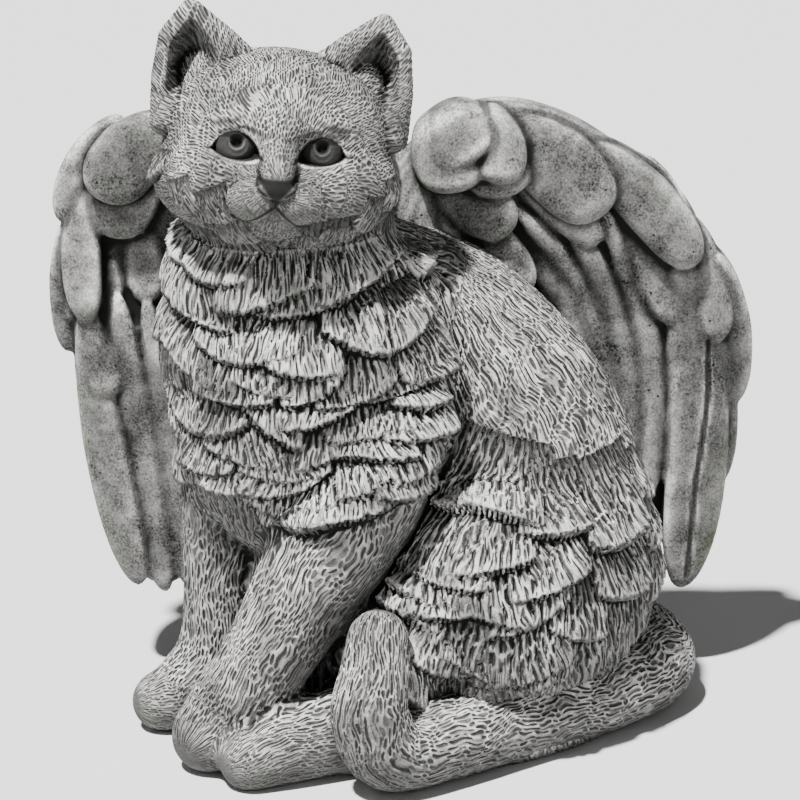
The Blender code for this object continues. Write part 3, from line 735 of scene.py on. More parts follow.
def comb_along(points, route, reach):
    """Millimetres round a limb and along it, and which points lie on it."""
    stops = smooth_route(route)
    ahead = unit(np.gradient(stops[:, :3], axis=0))
    arc = np.concatenate([[0], np.cumsum(np.linalg.norm(np.diff(stops[:, :3], axis=0), axis=1))])
    nearest = np.zeros(len(points), int)
    closest = np.full(len(points), np.inf)
    first = [unit(np.cross(ahead[0], (0.3, 0.5, 0.8)))]
    for number, stop in enumerate(stops):
        gone = ((points - stop[:3]) ** 2).sum(1)
        better = gone < closest
        closest[better] = gone[better]
        nearest[better] = number
        if number:
            first.append(unit(first[-1] - (first[-1] @ ahead[number]) * ahead[number]))
    first = np.array(first)
    offset = points - stops[nearest, :3]
    side = (offset * first[nearest]).sum(1)
    depth = (offset * np.cross(ahead, first)[nearest]).sum(1)
    along = arc[nearest] + (offset * ahead[nearest]).sum(1)
    on = closest < (stops[nearest, 3] * reach) ** 2
    end = np.clip((np.hypot(side, depth) - POLE_SMOOTH) / POLE_SMOOTH, 0, 1)
    return np.stack([np.arctan2(depth, side) * stops[:, 3].mean(), along], 1), on, end


def to_head(points):
    inverse = np.array(head_frame().inverted())
    return points @ inverse[:3, :3].T + inverse[:3, 3]


def away_from_nose(local):
    return np.linalg.norm(local - NOSE_TIP[0], axis=1)


def shoulder_slope():
    """How far the line down the shoulder goes across for each step up."""
    return (SHOULDER_TOP[0] - SHOULDER_FOOT[0]) / (SHOULDER_TOP[1] - SHOULDER_FOOT[1])


def comb_body(points):
    """Fur coordinates all over the body and head in millimetres, with the style there."""
    behind = points[:, 0] > SHOULDER_FOOT[0] + shoulder_slope() * (points[:, 2] - SHOULDER_FOOT[1])
    behind |= points[:, 1] > BACK_START
    place = comb_around(points, *CHEST_COMB)
    place[behind] = comb_around(points, *BACK_COMB)[behind]
    style = np.tile(CHEST_FUR, (len(points), 1))
    style[behind] = BODY_FUR
    for route in (NEAR_FORELEG[1:], FAR_FORELEG[1:], HIND_FOOT, FAR_HIND_FOOT):
        limb, on, end = comb_along(points, route, LIMB_REACH)
        place[on] = limb[on]
        style[on] = LEG_FUR
        style[on & (points[:, 2] < PAW_TOP)] = PAW_FUR
        style[on, 2] *= end[on]
    local = to_head(points)
    head = ((local / HEAD_REACH) ** 2).sum(1) < 1
    head &= local[:, 2] > HEAD_FOOT - HEAD_FOOT_TILT * local[:, 1]
    head |= (local[:, 2] > EAR_LEVEL) & (np.abs(local[:, 1]) < EAR_DEPTH)
    offset, away = local - NOSE_TIP[0], away_from_nose(local)
    ring = np.floor(np.log(np.maximum(away, 1) / NOSE_RINGS) / math.log(NOSE_RING_GROWTH))
    round_nose = np.arctan2(offset[:, 0], offset[:, 2]) * NOSE_RINGS * NOSE_RING_GROWTH ** (ring + 0.5)
    place[head] = np.stack([round_nose, away], 1)[head]
    style[head] = HEAD_FUR
    style[head & (away < MUZZLE_REACH)] = MUZZLE_FUR
    return place, style


def comb_tail(points):
    place, _, end = comb_along(points, TAIL, TAIL_REACH)
    style = np.tile(TAIL_FUR, (len(points), 1))
    style[:, 2] *= end
    return place, style


def groove_depth(comb):
    """How deep the groove at each point is, for columns and rows of staggered grooves."""
    column, row, depth = comb.T
    row = row + np.floor(column) * STAGGER % 1
    x, y = (column % 1) * 2 - 1, ((row % 1) * 2 - 1) / GROOVE_LENGTH
    wide = GROOVE_SHARE * np.sqrt(np.clip(1 - y**2, SMALLEST, 1))
    return depth * np.clip(1.2 - 1.2 * (x / wide) ** 2, 0, 1)


def store_hollows(mesh):
    """Stores how deep each point lies in its surroundings, closely and at large."""
    points = positions(mesh)
    ends = np.empty(len(mesh.edges) * 2, np.int32)
    mesh.edges.foreach_get("vertices", ends)
    a, b = ends.reshape(-1, 2).T
    both, other = np.concatenate([a, b]), np.concatenate([b, a])
    count = np.maximum(1, np.bincount(both, minlength=len(points)))
    normals = vertex_normals(mesh)
    smooth = points
    for rounds, name in ((NOOK_ROUNDS, "nook"), (HOLLOW_ROUNDS, "hollow")):
        for _ in range(rounds):
            around = [np.bincount(both, smooth[other, axis], len(points)) for axis in range(3)]
            around = np.stack(around, 1) / count[:, None]
            smooth = (1 - ROUND_SHARE) * smooth + ROUND_SHARE * around
        store(mesh, name, ((smooth - points) * normals).sum(1))


def to_metres(mesh):
    middle = Matrix.Translation((-FIGURE_MIDDLE[0], -FIGURE_MIDDLE[1], 0))
    mesh.transform(Matrix.Scale(MM, 4) @ middle)


def finished(name, mesh, material):
    """A piece of the statue from a mesh in figure millimetres."""
    to_metres(mesh)
    mesh.name = name
    mesh.materials.clear()
    mesh.materials.append(material)
    obj = linked(name, mesh)
    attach(obj, "root")
    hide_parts(NODE)
    return obj


def portion(mesh, planes):
    """A closed copy of what lies behind every plane, capped flat on each."""
    bm = bmesh.new()
    bm.from_mesh(mesh)
    for spot, outward in planes:
        whole = [*bm.verts, *bm.edges, *bm.faces]
        cut = bmesh.ops.bisect_plane(bm, geom=whole, plane_co=spot, plane_no=outward, clear_outer=True)
        rim = [edge for edge in cut["geom_cut"] if isinstance(edge, bmesh.types.BMEdge)]
        caps = bmesh.ops.holes_fill(bm, edges=rim, sides=0)["faces"]
        bmesh.ops.triangulate(bm, faces=caps)
        for edge in rim:
            edge.smooth = False
    for face in bm.faces:
        face.smooth = True
    part = bpy.data.meshes.new("part")
    bm.to_mesh(part)
    bm.free()
    return part


def press_sockets(mesh):
    """Presses the eye sockets into the face."""
    points = positions(mesh)
    into = into_face()
    for side in (1, -1):
        centre, radii, turns = EYE_SOCKET
        place = head_frame() @ sided(side) @ Matrix.Translation(centre) @ turned(turns)
        inverse = np.array((place @ Matrix.Diagonal((*radii, 1))).inverted())
        local = points @ inverse[:3, :3].T + inverse[:3, 3]
        pressed = np.clip(1 - (local**2).sum(1), 0, 1)
        points += into * (SOCKET_DEPTH * np.sqrt(pressed))[:, None]
    place_vertices(mesh, points)


def open_eyes(points):
    """Opens the lids in the skin of the face, with a proud rim round each opening, and gives the painted
    shade along the lids, in the corners and in the gap inside.
    """
    local, into = to_head(points), into_face()
    slant = math.radians(EYE_SLANT)
    across = np.abs(local[:, 0]) - EYE_OPENING[0]
    above = local[:, 2] - EYE_OPENING[1]
    u = (across * math.cos(slant) + above * math.sin(slant)) / EYE_HALF
    v = above * math.cos(slant) - across * math.sin(slant)
    arch = np.clip(1 - u**2, 0, 1)
    top, foot = EYE_RISE * arch**LID_ARCH, -EYE_DROP * arch**LID_ARCH
    outside = np.maximum(np.maximum(v - top, foot - v), (np.abs(u) - 1) * EYE_HALF)
    front = (local[:, 1] < FACE_FRONT) & (outside < LID_REACH)
    upper = v > foot / 2
    sunk = LID_DEPTH * np.clip(0.5 - outside / LID_SOFTNESS, 0, 1)
    rim = LID_PROUD * np.exp(-(((outside - LID_WIDTH) / LID_WIDTH) ** 2)) * np.where(upper, 1, LOWER_LID)
    points[front] += into * (sunk - rim)[front, None]
    out, half = (np.where(upper, *values) for values in zip(UPPER_LID_SHADOW, LOWER_LID_SHADOW))
    painted_lid_shade = np.clip(1.5 - np.abs(outside - out) / half, 0, 1)
    past = np.abs(u) - 1
    fall = CORNER_FALL * (across < 0) * past * EYE_HALF
    corner = np.clip(1.4 - np.abs(v + fall) / CORNER_WIDTH, 0, 1)
    reach = np.where(across > 0, CORNER_OUTER, CORNER_INNER)
    corner *= (np.abs(u) > CORNER_START) & (np.abs(u) < reach)
    # Painted shade in the gap inside the opening, along the lid lines and in the corners.
    inside = np.clip(0.6 - outside, 0, 1)
    shade_and_soot = EYE_RIM_SHADE * np.maximum(np.maximum(painted_lid_shade, corner), inside)
    return points, np.where(front, outside, LID_REACH), np.where(front, shade_and_soot, 0)


def carved_fur(skin, comb_of, locks, share, soft=None):
    """Raises the locks of a skin and carves its fur, less where it is soft."""
    points, normals = positions(skin), vertex_normals(skin)
    chance = np.random.default_rng(SEED)
    lift, winner, comb, lip = lock_lift(points, normals, locks)
    place, style = comb_of(points)
    free = winner < 0
    place[:, 0] += waver(points, WAVER_SIZE, chance) * WAVER_ASIDE
    place[:, 1] += waver(points, WAVER_SIZE, chance) * WAVER_ALONG
    comb[free, :2] = (place / style[:, :2])[free]
    comb[free, 2] = style[free, 2]
    comb[~free, 0] += (waver(points, WAVER_SIZE, chance) * WAVER_ASIDE / 3)[~free]
    for axis in (0, 1):
        comb[:, axis] += RUFFLE * waver(points, RUFFLE_SIZE, chance)
    if soft is not None:
        comb[:, 2] *= 1 - soft
    raised = points + normals * (lift - share * groove_depth(comb / CLUMP))[:, None]
    raised[:, 2] = np.maximum(raised[:, 2], 0)
    place_vertices(skin, raised)
    store(skin, "lip", lip)
    combed = skin.attributes.new("comb", "FLOAT_VECTOR", "POINT")
    combed.data.foreach_set("vector", comb.astype(np.float32).ravel())
    skin.shade_smooth()


def score_line(points, tree, starts, into, width, depth):
    """Presses a line into the points, where it is cast on to the skin.

    Gives which points lie near the line, and how strongly it marks each.
    """
    spots = [tree.ray_cast(start, Vector(into))[0] for start in starts]
    spots = np.array([spot for spot in spots if spot])
    reach = 2 * width
    near = np.flatnonzero(((points > spots.min(0) - reach) & (points < spots.max(0) + reach)).all(1))
    away = np.min([np.linalg.norm(points[near] - spot, axis=1) for spot in spots], axis=0)
    mark = np.clip(1.4 - away / width, 0, 1)
    points[near] += np.array(into) * (depth * mark)[:, None]
    return near, mark


def quill_marks(skin, routes, side):
    """Scores the quills of a wing, and stores the painted shade along each scored line."""
    points, tree = positions(skin), surface_tree(skin)
    shade_and_soot = np.zeros(len(points))
    for route in routes:
        starts = [(side * x, -RAY_START, z) for x, z in flat_route(route, QUILL_STEP)]
        near, mark = score_line(points, tree, starts, (0, 1, 0), QUILL_WIDTH, QUILL_DEPTH)
        shade_and_soot[near] = np.maximum(shade_and_soot[near], QUILL_SHADE * mark)
    place_vertices(skin, points)
    store(skin, "shade_and_soot", shade_and_soot)


def flat_route(route, step):
    """Points across and up, on one curve through a flat route."""
    return smooth_route([(x, 0, z, 0) for x, z in route], step)[:, [0, 2]]


def face_marks(points, tree):
    """Scores the nose and mouth into the face. Gives how dark each point is painted, with painted shade
    along the scored lines and the darker nose leather, and how bare of fur each point is.
    """
    local = to_head(points)
    into = into_face()
    across, above = np.abs(local[:, 0]), local[:, 2]
    slope = NOSE_LEATHER[0] / (NOSE_LEATHER[1] - NOSE_LEATHER[2])
    inner = (across - slope * (above - NOSE_LEATHER[2])) / math.hypot(1, slope)
    leather = np.clip(0.9 - np.maximum(inner, above - NOSE_LEATHER[1]), 0, 1)
    leather *= (local[:, 1] < NOSE_FRONT) & (above > NOSE_LEATHER[2] - 2)
    shade_and_soot = NOSE_DARKNESS * leather
    bare = np.maximum(leather, np.clip(1.6 - away_from_nose(local) / 4, 0, 1))
    for route, width, depth in FACE_LINES:
        starts = [head_frame() @ Vector((x, FACE_RAY, z)) for x, z in flat_route(route, FACE_STEP)]
        near, mark = score_line(points, tree, starts, into, width, depth)
        # Painted shade along each scored line.
        shade_and_soot[near] = np.maximum(shade_and_soot[near], np.clip(mark * 1.3, 0, 0.95))
        bare[near] = np.maximum(bare[near], np.clip(mark * 2, 0, 1))
    return shade_and_soot, bare


class STATUE_OT_body(bpy.types.Operator):
    """Carve the body: chest, forelegs and haunches"""

    bl_idname = "statue.body"
    bl_label = "Body"

    def execute(self, context):
        sizes = context.scene.statue_sizes
        body = portion(rounded(trunk()), [((0, 0, NECK_LEVEL), UPWARD)])
        skin = fused(joined("body", [body]), sizes.fur_detail, FUR_SOFTENING)
        carved_fur(skin, comb_body, fur_locks(), sizes.carving)
        store_hollows(skin)
        shoulder, waist = (SHOULDER_FOOT[0], 0, SHOULDER_FOOT[1]), (0, 0, WAIST_LEVEL)
        for name, across, above in BODY_PIECES:
            planes = [(shoulder, (across, 0, -across * shoulder_slope())), (waist, (0, 0, above))]
            finished(name, portion(skin, planes), fur_stone(context))
        return {"FINISHED"}


class STATUE_OT_head(bpy.types.Operator):
    """Carve the head, with its ears, muzzle and lids"""

    bl_idname = "statue.head"
    bl_label = "Head"

    def execute(self, context):
        sizes = context.scene.statue_sizes
        body = portion(rounded(trunk()), [((0, 0, NECK_LEVEL - NECK_ROOM), DOWNWARD)])
        press_sockets(body)
        skin = fused(joined("head", [body, *face_meshes()]), sizes.head_detail, HEAD_SOFTENING)
        tree = surface_tree(skin)
        points, outside, painted_lid_shade = open_eyes(positions(skin))
        place_vertices(skin, points)
        shade_and_soot, bare = face_marks(positions(skin), tree)
        # The scored lines carry painted shade and the nose leather is darker; the painted shade round the
        # eyes is added.
        store(skin, "shade_and_soot", np.maximum(shade_and_soot, painted_lid_shade))
        bare = np.maximum(bare, np.clip(BARE_LID - outside, 0, 1))
        carved_fur(skin, comb_body, fur_locks(), sizes.carving, bare)
        store_hollows(skin)
        skull = portion(skin, [((0, 0, NECK_LEVEL - NECK_LAP), DOWNWARD)])
        finished("head", skull, fur_stone(context))
        return {"FINISHED"}


class STATUE_OT_eyes(bpy.types.Operator):
    """Turn the eyeballs, with a sunk iris and a deep pupil"""

    bl_idname = "statue.eyes"
    bl_label = "Eyes"

    def execute(self, context):
        gaze, stare = (np.array(Vector(way).normalized()) for way in (GAZE, PUPIL_GAZE))
        meshes = []
        for side in (1, -1):
            mesh = unit_ball(*EYEBALL_FACETS)
            mesh.transform(turned((90, 0, 0)))
            rays = positions(mesh)
            aside = EYEBALL_RADIUS * np.linalg.norm(rays - gaze, axis=1)
            off_pupil = EYEBALL_RADIUS * np.linalg.norm(rays - stare, axis=1)
            sunk = IRIS_DEPTH * np.clip((IRIS_RADIUS - aside) / IRIS_RIM, 0, 1)
            pupil = np.clip((PUPIL_RADIUS - off_pupil) / PUPIL_RIM, 0, 1)
            # The line round the iris is left light: a painted highlight. The pupil's hole and the eyeball
            # under the upper lid are painted in shade, and the iris and the white are painted darker.
            ring = np.clip(1.3 - np.abs(aside - IRIS_RADIUS) / IRIS_HIGHLIGHT, 0, 1)
            painted_lid_shadow = np.clip((rays[:, 2] - LID_SHADE) * LID_SHADE_GROWTH, 0, 1)
            shade_and_soot = np.where(aside < IRIS_RADIUS, IRIS_DARKNESS, WHITE_DARKNESS) * (1 - ring)
            shade_and_soot = np.maximum(shade_and_soot, PUPIL_SHADE * pupil)
            store(mesh, "shade_and_soot", np.maximum(shade_and_soot, LID_SHADOW_DARKNESS * painted_lid_shadow))
            sunk += PUPIL_DEPTH * pupil
            place_vertices(mesh, rays * (EYEBALL_RADIUS - sunk)[:, None])
            x, y, z = EYEBALL_CENTRE
            mesh.transform(head_frame() @ Matrix.Translation((side * x, y, z)))
            meshes.append(mesh)
        pair = joined("eyes", meshes)
        mesh = applied(pair)
        mesh.shade_smooth()
        store_hollows(mesh)
        finished("eyes", mesh, fur_stone(context))
        return {"FINISHED"}


class STATUE_OT_tail(bpy.types.Operator):
    """Carve the tail that curls round the feet"""

    bl_idname = "statue.tail"
    bl_label = "Tail"

    def execute(self, context):
        sizes = context.scene.statue_sizes
        skin = fused(joined("tail", limb_meshes(TAIL)), sizes.fur_detail, FUR_SOFTENING)
        carved_fur(skin, comb_tail, [], sizes.carving)
        store_hollows(skin)
        finished("tail", skin, fur_stone(context))
        return {"FINISHED"}


def add_node(tree, kind, inputs=(), **settings):
    """A node with its settings, its inputs given as values or as sockets to link."""
    node = tree.nodes.new(kind)
    for name, value in settings.items():
        setattr(node, name, value)
    for key, value in dict(inputs).items():
        if isinstance(value, bpy.types.NodeSocket):
            tree.links.new(value, node.inputs[key])
        else:
            node.inputs[key].default_value = value
    return node


def maths(tree, operation, *values):
    return add_node(tree, "ShaderNodeMath", dict(enumerate(values)), operation=operation).outputs[0]


def product(tree, first, *others):
    for other in others:
        first = maths(tree, "MULTIPLY", first, other)
    return first


def vector_maths(tree, operation, *values):
    node = add_node(tree, "ShaderNodeVectorMath", dict(enumerate(values)), operation=operation)
    return node.outputs[0]


def blend(tree, share, a, b):
    """The vector a share of the way from a to b."""
    return vector_maths(tree, "ADD", a, scaled(tree, vector_maths(tree, "SUBTRACT", b, a), share))


def scaled(tree, vector, factor):
    inputs = {0: vector, "Scale": factor}
    return add_node(tree, "ShaderNodeVectorMath", inputs, operation="SCALE").outputs[0]


def named(tree, name, kind="FLOAT"):
    return add_node(tree, "GeometryNodeInputNamedAttribute", {"Name": name}, data_type=kind).outputs[0]


FEATHER_INPUTS = (("Plane", WING_PLANE), ("Sweep", WING_SWEEP), ("Root width", ROOT_WIDTH))


def rounding(tree, end, power):
    """How full a blade still is, for how near its end it is."""
    left = maths(tree, "SUBTRACT", 1.0, maths(tree, "POWER", end, power))
    return maths(tree, "SQRT", maths(tree, "MAXIMUM", left, 0.0))


def feather_tree(material):
    """Draws a ball on each point out into a flat blade, from the point's root to its tip."""
    tree = bpy.data.node_groups.new("wing_feathers", "GeometryNodeTree")
    tree.interface.new_socket("Geometry", in_out="INPUT", socket_type="NodeSocketGeometry")
    for name, value in FEATHER_INPUTS:
        socket = tree.interface.new_socket(name, in_out="INPUT", socket_type="NodeSocketFloat")
        socket.default_value = value
    tree.interface.new_socket("Geometry", in_out="OUTPUT", socket_type="NodeSocketGeometry")
    given = tree.nodes.new("NodeGroupInput").outputs

    facets = {"Segments": BLADE_SEGMENTS, "Rings": BLADE_RINGS, "Radius": 1.0}
    ball = add_node(tree, "GeometryNodeMeshUVSphere", facets)
    spot = tree.nodes.new("GeometryNodeInputPosition").outputs[0]
    marked = add_node(
        tree,
        "GeometryNodeStoreNamedAttribute",
        {"Geometry": ball.outputs["Mesh"], "Name": "ball", "Value": spot},
        data_type="FLOAT_VECTOR",
        domain="POINT",
    )
    copies = add_node(
        tree, "GeometryNodeInstanceOnPoints", {"Points": given["Geometry"], "Instance": marked.outputs[0]}
    )
    real = add_node(tree, "GeometryNodeRealizeInstances", {"Geometry": copies.outputs[0]})

    root, tip = named(tree, "root", "FLOAT_VECTOR"), named(tree, "tip", "FLOAT_VECTOR")
    deep = (0.0, 1.0, 0.0)
    along = vector_maths(tree, "NORMALIZE", vector_maths(tree, "SUBTRACT", tip, root))
    outwards = vector_maths(tree, "CROSS_PRODUCT", along, deep)
    bow = scaled(tree, outwards, maths(tree, "MULTIPLY", named(tree, "bow"), 2.0))
    knee = vector_maths(tree, "ADD", blend(tree, 0.5, root, tip), bow)
    x, y, z = add_node(tree, "ShaderNodeSeparateXYZ", {0: named(tree, "ball", "FLOAT_VECTOR")}).outputs
    share = maths(tree, "MULTIPLY_ADD", z, 0.5, 0.5)
    before, after = blend(tree, share, root, knee), blend(tree, share, knee, tip)
    centre = blend(tree, share, before, after)
    heading = vector_maths(tree, "NORMALIZE", vector_maths(tree, "SUBTRACT", after, before))
    aside = vector_maths(tree, "CROSS_PRODUCT", deep, heading)

    squares = maths(tree, "ADD", product(tree, x, x), product(tree, y, y))
    ring = maths(tree, "MAXIMUM", maths(tree, "SQRT", squares), SMALLEST)
    end = maths(tree, "ABSOLUTE", z)
    widening = maths(tree, "MINIMUM", maths(tree, "ADD", z, 1.0), 1.0)
    narrow = maths(tree, "SUBTRACT", 1.0, given["Root width"])
    waist = maths(tree, "MULTIPLY_ADD", widening, narrow, given["Root width"])
    half = product(tree, named(tree, "width"), 0.5)
    sideways = maths(tree, "DIVIDE", x, ring)
    spread = product(tree, rounding(tree, end, TIP_BLUNTNESS), waist, half, sideways)
    flat = vector_maths(tree, "ADD", centre, scaled(tree, aside, spread))
    face = maths(tree, "POWER", maths(tree, "ABSOLUTE", maths(tree, "DIVIDE", y, ring)), FACE_ROUNDNESS)
    facing = product(tree, face, maths(tree, "SIGN", y))
    thick = product(tree, named(tree, "thickness"), 0.5, rounding(tree, end, END_FLATNESS), facing)
    flat_x = add_node(tree, "ShaderNodeSeparateXYZ", {0: flat}).outputs[0]
    swept = product(tree, flat_x, flat_x, given["Sweep"])
    tilted = maths(tree, "MULTIPLY", named(tree, "tilt"), maths(tree, "SUBTRACT", 1.0, share))
    set_back = maths(tree, "ADD", maths(tree, "ADD", named(tree, "depth"), tilted), thick)
    back = maths(tree, "ADD", maths(tree, "ADD", given["Plane"], swept), set_back)
    place = vector_maths(tree, "ADD", flat, scaled(tree, deep, back))

    shaped = add_node(tree, "GeometryNodeSetPosition", {"Geometry": real.outputs[0], "Position": place})
    whole = add_node(tree, "GeometryNodeRealizeInstances", {"Geometry": shaped.outputs[0]})
    stone = add_node(tree, "GeometryNodeSetMaterial", {"Geometry": whole.outputs[0], "Material": material})
    out = tree.nodes.new("NodeGroupOutput")
    tree.links.new(stone.outputs[0], out.inputs[0])
    return tree


def wing_feathers(webs, primaries, inner, coverts):
    """Every feather of a wing: those on the front and, laid the other way, those on the back."""
    primaries = list(primaries)
    for t in np.arange(INNER_COUNT) / (INNER_COUNT - 1):
        primaries.append(tuple(np.array(a) * (1 - t) + np.array(b) * t for a, b in zip(*inner)))
    feathers = [(*feather, SHINGLE) for feather in (*coverts, *SHOULDER_COVERTS)]
    feathers += [(*feather, PRIMARY_SHINGLE) for feather in (*webs, *primaries)]
    backs = ((primaries, BACK_PRIMARY_DEPTH), (coverts[:BACK_COVERTS], BACK_COVERT_DEPTH))
    for row, (depth, step) in backs:
        feathers += [(*feather[:5], depth + step * number, -SHINGLE) for number, feather in enumerate(row)]
    return feathers


def feather_mesh(feathers, tree):
    """The blades of some feathers, from one point for each that carries its sizes."""
    mesh = bpy.data.meshes.new("feathers")
    mesh.vertices.add(len(feathers))
    for number, name in enumerate(("root", "tip")):
        ends = np.array([(f[number][0], 0, f[number][1]) for f in feathers], np.float32)
        mesh.attributes.new(name, "FLOAT_VECTOR", "POINT").data.foreach_set("vector", ends.ravel())
    for number, name in enumerate(("bow", "width", "thickness", "depth", "tilt"), 2):
        store(mesh, name, np.array([float(f[number]) for f in feathers]))
    obj = linked("feathers", mesh)
    grow = obj.modifiers.new("feathers", "NODES")
    grow.node_group = tree
    for name, value in FEATHER_INPUTS:
        socket = tree.interface.items_tree[name]
        grow[socket.identifier] = float(value)
    return applied(obj)


class STATUE_OT_wings(bpy.types.Operator):
    """Grow the feathers of both wings and fuse each wing into one casting"""

    bl_idname = "statue.wings"
    bl_label = "Wings"

    def execute(self, context):
        sizes = context.scene.statue_sizes
        material = feather_stone(context)
        tree = feather_tree(material)
        for name, side, arm, quills, *kinds in WINGS:
            blades = feather_mesh(wing_feathers(*kinds), tree)
            blades.transform(sided(side))
            meshes = [blades, *limb_meshes((*WING_SHOULDER, *arm), sided(side))]
            skin = fused(joined(name, meshes), sizes.wing_detail, WING_SOFTENING)
            quill_marks(skin, quills, side)
            store_hollows(skin)
            skin.shade_smooth()
            finished(name, skin, material)
        return {"FINISHED"}


def new_group(name, inputs, outputs):
    """A shader node group with its named sockets, its input's sockets and its output node."""
    tree = bpy.data.node_groups.new(name, "ShaderNodeTree")
    for socket, (kind, value) in inputs.items():
        made = tree.interface.new_socket(socket, in_out="INPUT", socket_type=kind)
        made.default_value = value
    for socket, kind in outputs.items():
        tree.interface.new_socket(socket, in_out="OUTPUT", socket_type=kind)
    return tree, tree.nodes.new("NodeGroupInput").outputs, tree.nodes.new("NodeGroupOutput").inputs


def ramp(tree, value, low, high, to=(0.0, 1.0)):
    """The value's smooth share of the way from low to high."""
    node = add_node(
        tree,
        "ShaderNodeMapRange",
        {"Value": value, "From Min": low, "From Max": high, "To Min": to[0], "To Max": to[1]},
        interpolation_type="SMOOTHSTEP",
    )
    return node.outputs["Result"]


def noise(tree, scale, detail=4.0, roughness=0.55, place=None):
    place = place or tree.nodes.new("ShaderNodeTexCoord").outputs["Object"]
    inputs = {"Vector": place, "Scale": scale, "Detail": detail, "Roughness": roughness}
    return add_node(tree, "ShaderNodeTexNoise", inputs).outputs["Fac"]


def mix_colour(tree, share, a, b, blend_type="MIX"):
    node = tree.nodes.new("ShaderNodeMix")
    node.data_type = "RGBA"
    node.blend_type = blend_type
    for number, value in ((0, share), (6, a), (7, b)):
        if isinstance(value, bpy.types.NodeSocket):
            tree.links.new(value, node.inputs[number])
        elif number:
            node.inputs[number].default_value = (*value[:3], 1.0)
        else:
            node.inputs[number].default_value = value
    return node.outputs[2]


def attribute(tree, name):
    return add_node(tree, "ShaderNodeAttribute", attribute_name=name).outputs["Fac"]


def stone_grain():
    """Speckle, blotches and pinholes of cast stone: a shade about 1 and a height about 0."""
    made = bpy.data.node_groups.get("stone_grain")
    if made:
        return made
    inputs = {
        "Grains per metre": ("NodeSocketFloat", 1100.0),
        "Blotches per metre": ("NodeSocketFloat", 70.0),
        "Contrast": ("NodeSocketFloat", 0.35),
        "Pinholes": ("NodeSocketFloat", 0.5),
    }
    outputs = {"Shade": "NodeSocketFloat", "Height": "NodeSocketFloat"}
    tree, given, out = new_group("stone_grain", inputs, outputs)
    speckle = noise(tree, given["Grains per metre"], 3.0, 0.7)
    blotch = noise(tree, given["Blotches per metre"], 6.0, 0.68)
    both = maths(tree, "ADD", maths(tree, "SUBTRACT", speckle, 0.5), maths(tree, "SUBTRACT", blotch, 0.5))
    shade = maths(tree, "MULTIPLY_ADD", both, maths(tree, "MULTIPLY", given["Contrast"], 2.2), 1.0)
    place = tree.nodes.new("ShaderNodeTexCoord").outputs["Object"]
    cells = add_node(tree, "ShaderNodeTexVoronoi", {"Vector": place, "Scale": PITS_PER_METRE})
    lot = add_node(tree, "ShaderNodeSeparateColor", {0: cells.outputs["Color"]}).outputs[0]
    chosen = ramp(tree, lot, 0.90, 0.91)
    # Each pinhole is painted darker as well as sunk in the height: painted shade in the pit.
    hole = product(tree, ramp(tree, cells.outputs["Distance"], 0.16, 0.10), chosen, given["Pinholes"])
    tree.links.new(maths(tree, "MULTIPLY", shade, maths(tree, "SUBTRACT", 1.0, hole)), out["Shade"])
    height = maths(tree, "SUBTRACT", maths(tree, "MULTIPLY", speckle, 0.35), hole)
    tree.links.new(height, out["Height"])
    return tree


